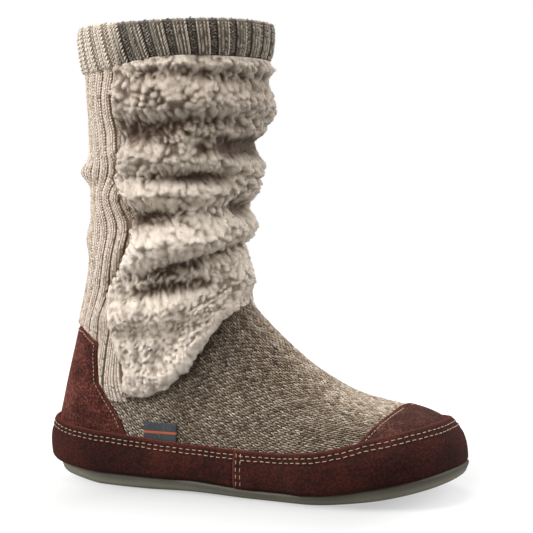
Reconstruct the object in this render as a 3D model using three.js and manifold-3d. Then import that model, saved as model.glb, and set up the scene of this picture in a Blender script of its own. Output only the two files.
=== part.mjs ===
// Slouch boot, right foot: a knitted sock upper on a rubber outsole, with a pile-fleece shaft, a
// ribbed back panel, a ribbed cuff and suede foxing, toe cap and heel counter. Millimetres, +X towards
// the toe, +Y towards the inner (medial) side, +Z up. The origin is on the floor under the middle of
// the boot.
import * as THREE from "three";
import { mergeVertices } from "three/addons/utils/BufferGeometryUtils.js";
import Module from "manifold-3d";

const wasm = await Module();
wasm.setup();

// Driving dimensions
const LENGTH = 254.4; // heel to toe of the upper, under its suede
const BALL_WIDTH = 93;
const HEEL_WIDTH = 74;
const INSTEP_HEIGHT = 88;
const ANKLE_WIDTH = 83;
const RIM_HEIGHT = 277; // floor to the top of the cuff
const CUFF_HEIGHT = 24;
const GAP = 0.3; // between neighbouring pieces
const WALL = 3; // knit and lining of the upper
const SUEDE = 1.8; // toe cap and heel counter
const FOXING = 2.2; // suede band round the foot
const LAP = 1; // the front foxing rides up over the rear one at the side seam
const LAP_WIDTH = 9;
const PILE = 7; // fleece, backing and pile together
const TUFT = 2.4; // how far the tufts of pile stand out
const TUFT_SCATTER = { round: 12.99, up: 78.23, spread: 437.6 }; // gives each tuft its own height
const RIB_PANEL = 2.2; // ribbed back panel under its ribs
const RIB_RELIEF = 0.8;
const RIB_COUNT = 46; // narrow ribs of the back panel, counted round the whole shaft
const CUFF_RIB_COUNT = 28; // broad ribs of the cuff
const CUFF = 4.2; // doubled ribbed cuff under its ribs
const CUFF_ROLL = 0.4; // share by which the cuff is thinner at its rolled edges
const RIM_FOLD = 2.2; // thickness of the cuff over the rim
const INSOLE = 4;
const INSOLE_CLEARANCE = 1.7;
const LABEL = { from: -55, to: -33, top: 41, thickness: 0.9 };
const SIDE_SEAM_X = 6; // where the two foxing pieces meet
// Where the foxing climbs on the suede pieces below it.
const FOXING_LIFT = { capFrom: 40, capTo: 56, counterFrom: 20, counterTo: 40 };
const HEEL_INSET = { depth: 2.6, from: 70, to: 120 }; // the outsole lies further in under the heel
const HALF_TURN = Math.PI;
const FAR = 180; // beyond the boot along X and Y
const HIGH = 400; // above the boot

const table = (columns, ...rows) =>
  rows.map((row) => Object.fromEntries(columns.map((column, i) => [column, row[i]])));

// The last: each row is one closed section, from the toe tip up to above the rim. A section lies in
// the plane through its top (front) point and its bottom (back) point, so the planes fan round the
// heel. Bottoms under the foot lie below the floor, because the sole closes the upper there. The round
// columns are superellipse powers of its two halves.
const TOE = LENGTH / 2;
const HEEL = -LENGTH / 2;
const BALL = BALL_WIDTH / 2;
const SEAT = HEEL_WIDTH / 2;
const ANKLE = ANKLE_WIDTH / 2;
const SECTIONS = table(
  ["topX", "topZ", "backX", "backZ", "half", "centre", "widest", "topRound", "backRound"],
  [TOE, 49, TOE, -8, BALL - 2.5, 3.5, 0.5, 2.5, 4.5], // toe tip, before it is rounded off
  [TOE - 20, 50, TOE - 20, -10, BALL - 1.5, 3, 0.5, 2.5, 4.5], // toe box
  [86, 53.4, 84, -12, BALL - 0.5, 2, 0.5, 2.3, 4.5], // toe joints
  [62, 60, 54, -14, BALL, 0, 0.48, 2.1, 4.5], // ball
  [40, INSTEP_HEIGHT - 15, 16, -14, BALL - 5, -1.5, 0.42, 2, 4.5], // waist
  [21.5, INSTEP_HEIGHT, -30, -14, SEAT + 0.5, -2, 0.42, 2, 4], // instep
  [6, INSTEP_HEIGHT + 14, -78, -14, SEAT - 0.5, -1, 0.45, 2, 3.4], // throat
  [-4.5, INSTEP_HEIGHT + 25, HEEL + 8.5, -6, SEAT - 0.5, 0, 0.5, 2, 2.8], // heel seat
  [-9.5, 122, HEEL, 18, SEAT, 0, 0.5, 2, 2.4], // heel
  [-12, 131, HEEL + 6, 50, SEAT + 2, 0, 0.5, 2, 2.3], // counter
  [-13, 142, -110.5, 92, ANKLE, 0, 0.5, 2, 2.2], // ankle
  [-12.5, 156, -101.5, 133, ANKLE + 1.5, 0, 0.5, 2.1, 2.1], // foot of the shaft
  [-10.5, 178, -99.8, 169, ANKLE + 2.5, 0, 0.5, 2.1, 2.1], // shaft
  [-4.5, 206, -100.8, 205, ANKLE + 3.5, 0, 0.5, 2.1, 2.1],
  [-1, 238, -102.2, 238, ANKLE + 5, 0, 0.5, 2.1, 2.1],
  [4, RIM_HEIGHT - 9, -106, RIM_HEIGHT - 9, ANKLE + 7, 0, 0.5, 2.1, 2.1], // cuff
  [5, RIM_HEIGHT + 19, -107, RIM_HEIGHT + 19, ANKLE + 8, 0, 0.5, 2.1, 2.1], // above the rim
);
const TOE_ROUND = { startX: 84, tipZ: 17, planPower: 2.15, heightPower: 3 };

// Edges seen from the side, as heights above the floor at places along the foot.
const SOLE_LINE = table(
  ["x", "bottom", "top"],
  [-140, 8, 13],
  [-122, 4.5, 11.4],
  [-104, 2, 9.6],
  [-88, 0, 8.2],
  [-56, 0, 7.9],
  [-24, 1.8, 8.1],
  [14, 0, 6.7],
  [50, 0, 5.9],
  [70, 1.4, 8],
  [94, 4.8, 13],
  [116, 9.8, 18.2],
  [140, 16.5, 24.5],
);
const FOXING_TOP = table(
  ["x", "height"],
  [-142, 41],
  [-122, 38.6],
  [-100, 35.2],
  [-74, 33],
  [-34, 30.2],
  [-4, 28.8],
  [30, 28.4],
  [60, 30.8],
  [88, 37.2],
  [114, 43],
  [142, 48.5],
);

// The outsole's edge, from its underside up: how far in it lies, and its rise from the lower or upper
// edge line.
const OUTSOLE_EDGE = table(
  ["inset", "line", "rise"],
  [7, "bottom", 0],
  [2.5, "bottom", 0.8],
  [1.2, "bottom", 2.6],
  [0, "top", -1.6],
  [0.8, "top", 0],
);

// Slouch folds of the shaft, each a soft ridge (positive depth) or crease (negative): the angle of its
// middle from the front towards the outer side, its height there, how far it runs each way, how its
// height changes over a quarter turn towards the back, its depth and its half height.
const FOLDS = table(
  ["at", "height", "run", "rise", "depth", "reach"],
  [40, 246, 80, 2, -3, 4.5],
  [45, 232, 75, 2, 3, 9],
  [-15, 227, 30, 0, 3, 8],
  [40, 221, 38, -4, -3, 5],
  [88, 213, 26, 0, -4, 7],
  [0, 205, 46, -2, -8, 6],
  [85, 199, 38, 0, 2.5, 7],
  [-8, 191, 26, 0, 4, 9],
  [46, 187, 40, -3, -5, 5],
  [70, 178, 42, -3, 3, 6],
  [38, 165, 55, -9, -5.5, 8],
  [-14, 169, 26, 0, -5, 6],
  [45, 151, 60, -12, 4, 8],
  [50, 136, 50, -20, -4.5, 5.5],
  [5, 127, 28, 0, 4, 7],
  [62, 121, 36, -14, -5, 5.5],
  [75, 106, 50, -16, 3, 9],
  [85, 92, 24, -5, -2.5, 6],
  [162, 190, 28, 0, 6, 6],
  [165, 149, 26, 0, 3, 8],
);
const BASE_FOLD_SHARE = 0.4; // the sock under the fleece follows the folds only in part
const INNER_SIDE = { from: 10, to: 50, shift: 4 }; // the inner side mirrors the folds a little higher up
const FOLD_FLOOR = { from: 84, to: 108 }; // folds fade out below the shaft

// Edges of the overlays seen from the side.
const CAP_EDGE = table(["x", "z"], [96, 90], [97.5, 50.5], [92.5, 45], [86, 37], [84, 30], [84, 0]);
const COUNTER_EDGE = table(
  ["x", "z"],
  [-66, 0],
  [-66, 30],
  [-72, 42.5],
  [-79.5, 53],
  [-85.5, 63],
  [-85.5, 80],
  [-84.5, 87],
  [-97, 95],
);
const COUNTER_PEAK = 99;
const RIB_TAIL = 5; // the ribbed panel runs down the counter's edge past this many of its corners
const FLEECE_BACK = table(
  ["x", "z"],
  [-69, 56],
  [-68, 70],
  [-75, 95],
  [-77, 116],
  [-67, 133],
  [-59, 148],
  [-59, 168],
  [-69, 185],
  [-64, 205],
  [-69, 228],
  [-70, 260],
);
const FLEECE_LOWER = table(
  ["x", "height"],
  [-69, 55],
  [-52, 56.5],
  [-40, 62],
  [-28, 72],
  [-20, 86],
  [-12, 100],
  [-3, 109],
  [40, 113],
);
const FLEECE_EDGE = { share: 0.3, reach: 16 }; // the pile thins towards its lower edge
const BACK_START = HALF_TURN * 0.58; // the back panel's ribs begin behind this angle

// Interpolation through the rows of a table

function cubic(before, from, to, after, t) {
  const slopeFrom = (to - before) / 2;
  const slopeTo = (after - from) / 2;
  const a = 2 * (from - to) + slopeFrom + slopeTo;
  const b = 3 * (to - from) - 2 * slopeFrom - slopeTo;
  return ((a * t + b) * t + slopeFrom) * t + from;
}

function rowValue(rows, column, k) {
  const last = rows.length - 1;
  const i = Math.min(Math.max(Math.floor(k), 0), last - 1);
  const value = (j) => rows[Math.min(Math.max(j, 0), last)][column];
  return cubic(value(i - 1), value(i), value(i + 1), value(i + 2), k - i);
}

function lineValue(rows, column, x) {
  const i = rows.findIndex((row, j) => j === rows.length - 2 || x < rows[j + 1].x);
  const t = (x - rows[i].x) / (rows[i + 1].x - rows[i].x);
  return rowValue(rows, column, i + Math.min(Math.max(t, 0), 1));
}

const smooth = (low, high, x) => THREE.MathUtils.smoothstep(x, low, high);

// The upper's own surface: k runs along the rows of the last, phi round a section from its top over
// the outer side.

const signedPower = (value, power) => Math.sign(value) * Math.abs(value) ** power;

function lastPoint(k, phi) {
  const row = {};
  for (const column of Object.keys(SECTIONS[0])) row[column] = rowValue(SECTIONS, column, k);
  const { startX, tipZ, planPower, heightPower } = TOE_ROUND;
  const u = Math.min(Math.max((row.backX - startX) / (TOE - startX), 0), 1);
  const plan = (1 - u ** planPower) ** (1 / planPower);
  const rise = (1 - u ** heightPower) ** (1 / heightPower);
  const top = new THREE.Vector3(row.topX, 0, tipZ + (row.topZ - tipZ) * rise);
  const back = new THREE.Vector3(row.backX, 0, tipZ + (row.backZ - tipZ) * rise);
  const axis = top.clone().sub(back);
  const c = Math.cos(phi);
  const power = 2 / (c > 0 ? row.topRound : row.backRound);
  const reach = c > 0 ? 1 - row.widest : row.widest;
  const point = back.addScaledVector(axis, row.widest + reach * signedPower(c, power));
  point.y = row.centre - row.half * plan * signedPower(Math.sin(phi), power);
  return point;
}

const NORMAL_STEP = 0.004;

function lastNormal(k, phi) {
  const step = NORMAL_STEP;
  const alongK = lastPoint(k + step, phi).sub(lastPoint(Math.max(k - step, 0), phi));
  const alongPhi = lastPoint(k, phi + step).sub(lastPoint(k, phi - step));
  const normal = alongK.cross(alongPhi);
  return normal.lengthSq() > 1e-12 ? normal.normalize() : new THREE.Vector3(1, 0, 0);
}

function foldDepth(phi, z) {
  const degrees = THREE.MathUtils.euclideanModulo(THREE.MathUtils.radToDeg(phi) + 180, 360) - 180;
  const inner = smooth(INNER_SIDE.from, INNER_SIDE.to, -degrees);
  let depth = 0;
  for (const fold of FOLDS) {
    for (const [side, share] of [[1, 1 - inner], [-1, inner]]) {
      const away = side * degrees - fold.at;
      const height = fold.height + (fold.rise * away) / 90 + (side < 0 ? INNER_SIDE.shift : 0);
      depth += share * fold.depth * Math.exp(-((away / fold.run) ** 2) - ((z - height) / fold.reach) ** 2);
    }
  }
  return depth * smooth(FOLD_FLOOR.from, FOLD_FLOOR.to, z);
}

// A point on the upper, moved out by an offset given as a number or a function of phi, the base point
// and the fold.
function surfacePoint(k, phi, offset) {
  const base = lastPoint(k, phi);
  const fold = foldDepth(phi, base.z);
  const out = typeof offset === "function" ? offset(phi, base, fold) : offset;
  return base.clone().addScaledVector(lastNormal(k, phi), out + BASE_FOLD_SHARE * fold);
}

// Solids

function toSolid(geometry) {
  geometry.deleteAttribute("normal");
  geometry.deleteAttribute("uv");
  const merged = mergeVertices(geometry, 1e-4);
  const vertProperties = new Float32Array(merged.attributes.position.array);
  const triVerts = new Uint32Array(merged.index.array);
  const solid = new wasm.Manifold(new wasm.Mesh({ numProp: 3, vertProperties, triVerts }));
  if (solid.volume() > 0) return solid;
  for (let i = 0; i < triVerts.length; i += 3) {
    [triVerts[i], triVerts[i + 1]] = [triVerts[i + 1], triVerts[i]];
  }
  return new wasm.Manifold(new wasm.Mesh({ numProp: 3, vertProperties, triVerts }));
}

// A closed skin over rings of points, each end closed to the middle of its ring.
function skin(rings) {
  const count = rings[0].length;
  const points = rings.flat();
  const triangles = [];
  for (let r = 0; r + 1 < rings.length; r++) {
    for (let c = 0; c < count; c++) {
      const a = r * count + c;
      const b = r * count + ((c + 1) % count);
      triangles.push(a, b, a + count, b, b + count, a + count);
    }
  }
  for (const [ring, turned] of [[0, false], [rings.length - 1, true]]) {
    const middle = new THREE.Vector3();
    rings[ring].forEach((p) => middle.addScaledVector(p, 1 / count));
    const hub = points.push(middle) - 1;
    for (let c = 0; c < count; c++) {
      const a = ring * count + c;
      const b = ring * count + ((c + 1) % count);
      triangles.push(...(turned ? [hub, a, b] : [hub, b, a]));
    }
  }
  const geometry = new THREE.BufferGeometry().setFromPoints(points);
  geometry.setIndex(triangles);
  return toSolid(geometry);
}

const evenly = (from, to, count) =>
  Array.from({ length: count + 1 }, (_, i) => from + ((to - from) * i) / count);
const around = (count) => evenly(0, 2 * HALF_TURN, count).slice(0, -1);

const TOE_STEPS = [0.004, 0.03, 0.1, 0.25, 0.5, 0.85];
const FOOT_STEPS = evenly(1.25, 9, 10);
const SHAFT_START = 6;
const CUFF_START = 13.6;
const TOP = SECTIONS.length - 1;
const SHAFT_STEPS = evenly(9.5, TOP, 12);
const WHOLE = [...TOE_STEPS, ...FOOT_STEPS, ...SHAFT_STEPS];
const ROUND = around(28);
const EDGE_STEPS = 36;
const EDGE_HALVINGS = 24;
const SOLE_STEPS = [0.03, 0.12, 0.3, 0.6, ...evenly(1, 7.6, 20)];

const form = (offset, steps = WHOLE, angles = ROUND) =>
  skin(steps.map((k) => angles.map((phi) => surfacePoint(k, phi, offset))));

// A prism across the boot from an outline of [x, z] points seen from the side.
function prism(outline) {
  const shape = new THREE.Shape(outline.map(([x, z]) => new THREE.Vector2(x, z)));
  const geometry = new THREE.ExtrudeGeometry(shape, { depth: 2 * FAR, bevelEnabled: false });
  return toSolid(geometry.rotateX(HALF_TURN / 2).translate(0, FAR, 0));
}

const along = (rows, column, rise = 0) =>
  evenly(-FAR, FAR, EDGE_STEPS).map((x) => [x, lineValue(rows, column, x) + rise]);
const above = (line) => prism([...line, [FAR, HIGH], [-FAR, HIGH]]);
const band = (low, high) => prism([[-FAR, low], [FAR, low], [FAR, high], [-FAR, high]]);

const aboveSole = above(along(SOLE_LINE, "top", GAP));
const aboveFoxing = above(along(FOXING_TOP, "height", GAP));

const boot = new THREE.Group();

// Vertices closer than this are one, and the triangles that close up with them go.
const WELD = 0.02;

function addPiece(name, solid, colour, roughness) {
  const { vertProperties, triVerts } = solid.getMesh();
  const raw = new THREE.BufferGeometry();
  raw.setAttribute("position", new THREE.BufferAttribute(new Float32Array(vertProperties), 3));
  raw.setIndex(new THREE.BufferAttribute(new Uint32Array(triVerts), 1));
  const geometry = mergeVertices(raw, WELD);
  const kept = [];
  const index = geometry.index.array;
  for (let i = 0; i < index.length; i += 3) {
    const corners = [index[i], index[i + 1], index[i + 2]];
    if (new Set(corners).size === 3) kept.push(...corners);
  }
  geometry.setIndex(kept);
  geometry.computeVertexNormals();
  const material = new THREE.MeshStandardMaterial({ color: colour, roughness, metalness: 0 });
  const mesh = new THREE.Mesh(geometry, material);
  mesh.name = name;
  boot.add(mesh);
}

// Upper: one knitted sock with its lining, open at the rim and underneath.
const clear = form(GAP);
const bore = form(-WALL);
const upper = form(0).subtract(bore).intersect(aboveSole).intersect(band(0, RIM_HEIGHT - RIM_FOLD - GAP));

// Toe cap, from its slanted rear edge down to the sole under the foxing.
const capForm = form(GAP + SUEDE).subtract(clear).intersect(aboveSole);
const capOutline = prism([[FAR, HIGH], ...CAP_EDGE.map(({ x, z }) => [x, z]), [FAR, 0]]);
const toeCap = capForm.intersect(capOutline);

// Heel counter, from its raised top edge down to the sole under the foxing.
const counterOutline = prism([[-FAR, 0], ...COUNTER_EDGE.map(({ x, z }) => [x, z]), [-FAR, COUNTER_PEAK]]);
const heelCounter = capForm.intersect(counterOutline);

// Foxing: a band of suede over the lower edges of the cap and the counter, in a front and a rear piece.
function foxingLift(phi, base) {
  const overCap = smooth(FOXING_LIFT.capFrom, FOXING_LIFT.capTo, base.x);
  const overCounter = smooth(FOXING_LIFT.counterFrom, FOXING_LIFT.counterTo, -base.x);
  return GAP + (SUEDE + GAP) * Math.max(overCap, overCounter);
}
function foxingOuter(phi, base) {
  const lap = LAP * (1 - smooth(SIDE_SEAM_X + LAP_WIDTH, SIDE_SEAM_X + 2 * LAP_WIDTH, base.x));
  return foxingLift(phi, base) + FOXING + (base.x > SIDE_SEAM_X ? lap : 0);
}
const foxingRing = form(foxingOuter).subtract(form(foxingLift)).intersect(aboveSole);
const foxing = foxingRing.subtract(above(along(FOXING_TOP, "height")));
const ahead = prism([[SIDE_SEAM_X, 0], [FAR, 0], [FAR, HIGH], [SIDE_SEAM_X, HIGH]]);
const behind = prism([[-FAR, 0], [SIDE_SEAM_X - GAP, 0], [SIDE_SEAM_X - GAP, HIGH], [-FAR, HIGH]]);

// Label tab: a small woven loop under the top edge of the rear foxing, on the outer side only.
const labelOutline = prism([
  [LABEL.from, 0],
  [LABEL.to, 0],
  [LABEL.to, LABEL.top],
  [LABEL.from, LABEL.top],
]);
const outerSide = toSolid(new THREE.BoxGeometry(2 * FAR, FAR, HIGH).translate(0, -FAR / 2, HIGH / 2));
const labelForm = form(GAP + LABEL.thickness).subtract(clear).intersect(aboveFoxing);
const labelTab = labelForm.intersect(labelOutline).intersect(outerSide);

// Shaft fleece: deep tufted pile round the front and both sides, down to a point behind the instep.
const shaftBand = band(0, RIM_HEIGHT - CUFF_HEIGHT - GAP);
function pileHeight(phi, base, fold) {
  const tuft = Math.sin(TUFT_SCATTER.round * phi + TUFT_SCATTER.up * base.z) * TUFT_SCATTER.spread;
  const edge = smooth(0, FLEECE_EDGE.reach, base.z - lineValue(FLEECE_LOWER, "height", base.x));
  const full = PILE + TUFT * (tuft - Math.floor(tuft)) + (1 - BASE_FOLD_SHARE) * fold;
  return GAP + full * (FLEECE_EDGE.share + (1 - FLEECE_EDGE.share) * edge);
}
const fleeceOutline = prism([
  ...FLEECE_BACK.map(({ x, z }) => [x, z]),
  [FLEECE_BACK.at(-1).x, HIGH],
  [FAR, HIGH],
  ...FLEECE_LOWER.toReversed().map(({ x, height }) => [x, height]),
]);
const pile = form(pileHeight, evenly(SHAFT_START, TOP, 28), around(42));
const shaftFleece = pile.subtract(form(GAP)).intersect(fleeceOutline).intersect(shaftBand);

// Back panel: vertical ribs between the two back edges of the fleece, above the heel counter.
const ribWave = (count, phi) => Math.abs(Math.sin((count / 2) * phi));
const ribHeight = (phi, base, fold) =>
  GAP + RIB_PANEL + RIB_RELIEF * ribWave(RIB_COUNT, phi) + (1 - BASE_FOLD_SHARE) * fold;
const RIB_STEPS = 2;
const ribAngles = around(RIB_COUNT * RIB_STEPS);
const backAngles = [
  ...evenly(0, BACK_START, 10).slice(0, -1),
  ...ribAngles.filter((phi) => phi >= BACK_START && phi <= 2 * HALF_TURN - BACK_START),
  ...evenly(2 * HALF_TURN - BACK_START, 2 * HALF_TURN, 10).slice(1, -1),
];
const ribForm = form(ribHeight, evenly(SHAFT_START, TOP, 13), backAngles);
const backOutline = prism([
  ...FLEECE_BACK.map(({ x, z }) => [x - GAP, z]),
  [FLEECE_BACK.at(-1).x - GAP, HIGH],
  [-FAR, HIGH],
  [-FAR, COUNTER_PEAK + GAP],
  ...COUNTER_EDGE.toReversed().map(({ x, z }) => [x + GAP, z + GAP]).slice(0, RIB_TAIL),
]);
const backRib = ribForm.subtract(clear).intersect(backOutline).intersect(shaftBand);

// Cuff: a doubled rib knit band, folded over the rim of the upper.
const cuffBand = band(RIM_HEIGHT - CUFF_HEIGHT, RIM_HEIGHT);
const cuffMiddle = RIM_HEIGHT - CUFF_HEIGHT / 2;
function cuffHeight(phi, base) {
  const edge = Math.abs(base.z - cuffMiddle) / (CUFF_HEIGHT / 2);
  const roll = 1 - CUFF_ROLL * Math.min(edge, 1) ** 4;
  return GAP + CUFF * roll + RIB_RELIEF * ribWave(CUFF_RIB_COUNT, phi);
}
const cuffAngles = around(CUFF_RIB_COUNT * RIB_STEPS);
const cuffOuter = form(cuffHeight, evenly(CUFF_START, TOP, 6), cuffAngles).intersect(cuffBand);
const cuffSeat = clear.intersect(band(0, RIM_HEIGHT - RIM_FOLD));
const cuff = cuffOuter.subtract(cuffSeat).subtract(bore);

// Sole pieces: plan outlines worked out from the upper's surface, in matching pairs of outer and inner
// points.
function edgePoint(k, side, offset) {
  let low = HALF_TURN / 2;
  let high = HALF_TURN;
  for (let i = 0; i < EDGE_HALVINGS; i++) {
    const phi = (low + high) / 2;
    const p = surfacePoint(k, side * phi, offset);
    if (p.z > lineValue(SOLE_LINE, "top", p.x)) low = phi;
    else high = phi;
  }
  return surfacePoint(k, side * low, offset);
}
const heelInset = (phi, base) => HEEL_INSET.depth * smooth(HEEL_INSET.from, HEEL_INSET.to, -base.x);
const soleRing = (inset, column, rise, offset) =>
  [1, -1].map((side) => SOLE_STEPS.map((k) => {
    const edge = edgePoint(k, side, (phi, base) => offset - inset - heelInset(phi, base));
    return new THREE.Vector3(edge.x, edge.y, Math.max(lineValue(SOLE_LINE, column, edge.x), 0) + rise);
  }));

// A closed skin over stacked outlines, its top and bottom in strips across from side to side.
function slab(rings) {
  const loops = rings.map(([outer, inner]) => [...outer, ...inner.toReversed()]);
  const count = loops[0].length;
  const triangles = [];
  const quad = (a, b, c, d) => triangles.push(a, b, c, a, c, d);
  for (let r = 0; r + 1 < loops.length; r++) {
    for (let c = 0; c < count; c++) {
      const next = (c + 1) % count;
      quad(r * count + c, r * count + next, (r + 1) * count + next, (r + 1) * count + c);
    }
  }
  const top = (loops.length - 1) * count;
  for (let c = 0; c + 1 < count / 2; c++) {
    const across = count - 1 - c;
    quad(c + 1, c, across, across - 1);
    quad(top + c, top + c + 1, top + across - 1, top + across);
  }
  const geometry = new THREE.BufferGeometry().setFromPoints(loops.flat());
  geometry.setIndex(triangles);
  return toSolid(geometry);
}

// Outsole: rubber, with a rolled lower edge and a small lip under the foxing.
const outsole = slab(
  OUTSOLE_EDGE.map(({ inset, line, rise }) => soleRing(inset, line, rise, FOXING + GAP)),
);

// Insole: a plain padded footbed inside the upper.
const insole = slab([GAP, GAP + INSOLE].map((rise) => soleRing(INSOLE_CLEARANCE, "top", rise, -WALL)));

addPiece("outsole", outsole, 0x67645a, 0.7);
addPiece("insole", insole, 0xcdbfa9, 0.95);
addPiece("upper", upper, 0x83786b, 0.95);
addPiece("toe_cap", toeCap, 0x562a22, 0.9);
addPiece("heel_counter", heelCounter, 0x562a22, 0.9);
addPiece("foxing_front", foxing.intersect(ahead), 0x5a2c24, 0.9);
addPiece("foxing_back", foxing.intersect(behind), 0x5a2c24, 0.9);
addPiece("label_tab", labelTab, 0x3d4146, 0.9);
addPiece("shaft_fleece", shaftFleece, 0xd8cdbe, 1);
addPiece("back_rib", backRib, 0xc9bcab, 1);
addPiece("cuff", cuff, 0x8c8072, 1);

export default boot;
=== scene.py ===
# A slouch boot for the right foot: a knitted sock upper with a pile-fleece shaft, a ribbed back panel and
# cuff, suede foxing, toe cap and heel counter, on a thin rubber outsole. Tables are in millimetres, meshes
# in metres. +X points to the toe, +Y to the inner side.
import math
import bmesh
import bpy
import numpy as np
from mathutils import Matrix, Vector, kdtree


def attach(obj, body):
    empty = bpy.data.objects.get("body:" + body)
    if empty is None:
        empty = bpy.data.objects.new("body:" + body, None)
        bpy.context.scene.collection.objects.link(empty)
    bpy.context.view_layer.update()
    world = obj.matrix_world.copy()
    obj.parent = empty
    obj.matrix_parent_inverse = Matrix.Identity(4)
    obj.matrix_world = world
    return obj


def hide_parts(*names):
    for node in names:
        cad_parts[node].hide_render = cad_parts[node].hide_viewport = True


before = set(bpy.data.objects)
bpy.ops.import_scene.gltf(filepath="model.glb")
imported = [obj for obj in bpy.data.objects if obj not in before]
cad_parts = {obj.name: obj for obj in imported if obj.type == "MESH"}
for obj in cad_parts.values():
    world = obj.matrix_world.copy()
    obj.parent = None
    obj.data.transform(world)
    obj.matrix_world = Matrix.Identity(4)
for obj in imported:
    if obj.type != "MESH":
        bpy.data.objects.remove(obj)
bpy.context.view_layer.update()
MM = 0.001

# Studio: a plain pale table in soft light from large panels, with the camera low in front of the outer
# side. The panels hang high at the left of the camera, over the boot and faintly at the right. The table
# glows
# for the camera, dimmer round the boot: a painted shadow.


def linear(colour):
    """A hex colour as the linear RGBA that shader sockets take."""
    channels = [int(colour[i:i + 2], 16) / 255 for i in (1, 3, 5)]
    return [c / 12.92 if c <= 0.04045 else ((c + 0.055) / 1.055) ** 2.4 for c in channels] + [1.0]


def new_object(name, mesh):
    """A mesh as an object of the scene, at the origin."""
    piece = bpy.data.objects.new(name, mesh)
    bpy.context.scene.collection.objects.link(piece)
    return piece


class Finish:
    """A material under construction, with short ways to add and join its nodes."""

    def __init__(self, name, **sockets):
        self.material = bpy.data.materials.new(name)
        self.material.use_nodes = True
        self.tree = self.material.node_tree
        self.shader = self.tree.nodes["Principled BSDF"]
        for socket, value in sockets.items():
            self.shader.inputs[socket.replace("_", " ")].default_value = value

    def node(self, kind, inputs=(), **settings):
        made = self.tree.nodes.new(kind)
        for key, value in settings.items():
            setattr(made, key, value)
        for socket, value in dict(inputs).items():
            if isinstance(value, bpy.types.NodeSocket):
                self.tree.links.new(value, made.inputs[socket])
            else:
                made.inputs[socket].default_value = value
        return made

    def place(self, stretch=(1, 1, 1)):
        """Object coordinates in metres, stretched."""
        where = self.node("ShaderNodeTexCoord").outputs["Object"]
        return self.node("ShaderNodeMapping", {"Vector": where, "Scale": stretch}).outputs["Vector"]

    def noise(self, size_mm, detail=3, rough=0.55, at=None):
        """Cloud noise, between 0 and 1, whose lumps are about this large."""
        inputs = {"Vector": at or self.place(), "Scale": 1 / (size_mm * MM),
                  "Detail": detail, "Roughness": rough}
        return self.node("ShaderNodeTexNoise", inputs).outputs["Fac"]

    def attribute(self, name):
        return self.node("ShaderNodeAttribute", attribute_name=name).outputs["Fac"]

    def ramp(self, value, *stops):
        """Colours by value: each stop is a place and a hex colour."""
        made = self.node("ShaderNodeValToRGB", {"Fac": value})
        points = made.color_ramp.elements
        while len(points) < len(stops):
            points.new(0.5)
        for point, (at, colour) in zip(points, stops):
            point.position = at
            point.color = linear(colour)
        return made.outputs["Color"]

    def span(self, value, low, high, out_low=0.0, out_high=1.0):
        inputs = {"Value": value, "From Min": low, "From Max": high, "To Min": out_low, "To Max": out_high}
        return self.node("ShaderNodeMapRange", inputs).outputs["Result"]

    def sum(self, first, second):
        return self.node("ShaderNodeMath", {0: first, 1: second}, operation="ADD").outputs[0]

    def product(self, first, second):
        return self.node("ShaderNodeMath", {0: first, 1: second}, operation="MULTIPLY").outputs[0]

    def vector(self, operation, *values):
        made = self.node("ShaderNodeVectorMath", dict(enumerate(values)), operation=operation)
        return made.outputs["Value" if operation == "LENGTH" else "Vector"]

    def part(self, vector, axis):
        return self.node("ShaderNodeSeparateXYZ", {0: vector}).outputs[axis]

    def mix(self, share, first, second, blend="MIX"):
        inputs = {0: share, 6: first, 7: second}
        return self.node("ShaderNodeMix", inputs, data_type="RGBA", blend_type=blend).outputs[2]

    def bump(self, height, depth_mm, strength=1.0, over=None):
        inputs = {"Height": height, "Distance": depth_mm * MM, "Strength": strength}
        if over:
            inputs["Normal"] = over
        return self.node("ShaderNodeBump", inputs).outputs["Normal"]

    def finish(self, colour=None, roughness=None, normal=None):
        for socket, value in (("Base Color", colour), ("Roughness", roughness), ("Normal", normal)):
            if value:
                self.tree.links.new(value, self.shader.inputs[socket])
        return self.material


scene = bpy.context.scene
scene.view_settings.view_transform = "Standard"
CAMERA_TURN, CAMERA_LIFT = math.radians(22), math.radians(3)
CAMERA_TARGET = Vector((0.0085, 0, 0.133))
CAMERA_DISTANCE = 0.95
towards_camera = Vector((
    math.sin(CAMERA_TURN) * math.cos(CAMERA_LIFT),
    -math.cos(CAMERA_TURN) * math.cos(CAMERA_LIFT),
    math.sin(CAMERA_LIFT),
))
camera_right = Vector((math.cos(CAMERA_TURN), math.sin(CAMERA_TURN), 0))
camera = bpy.data.objects.new("camera", bpy.data.cameras.new("camera"))
camera.data.lens = 106.85
camera.data.sensor_width = 36
camera.location = CAMERA_TARGET + towards_camera * CAMERA_DISTANCE
camera.rotation_euler = towards_camera.to_track_quat("Z", "Y").to_euler()
scene.collection.objects.link(camera)
scene.camera = camera

PANELS = {  # right of the camera's line, towards the camera, up, size, watts
    "left_panel": (-1.0, 0.42, 0.75, 0.8, 23),
    "right_panel": (1.05, 0.2, 0.7, 0.8, 11),
    "top_panel": (0.0, 0.1, 1.3, 0.6, 13),
}
for name, (right, near, up, size, watts) in PANELS.items():
    panel_light = bpy.data.lights.new(name, "AREA")
    panel_light.size = size
    panel_light.energy = watts
    panel = bpy.data.objects.new(name, panel_light)
    panel.location = CAMERA_TARGET + camera_right * right + towards_camera * near + Vector((0, 0, up))
    panel.rotation_euler = (panel.location - CAMERA_TARGET).to_track_quat("Z", "Y").to_euler()
    scene.collection.objects.link(panel)

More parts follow.
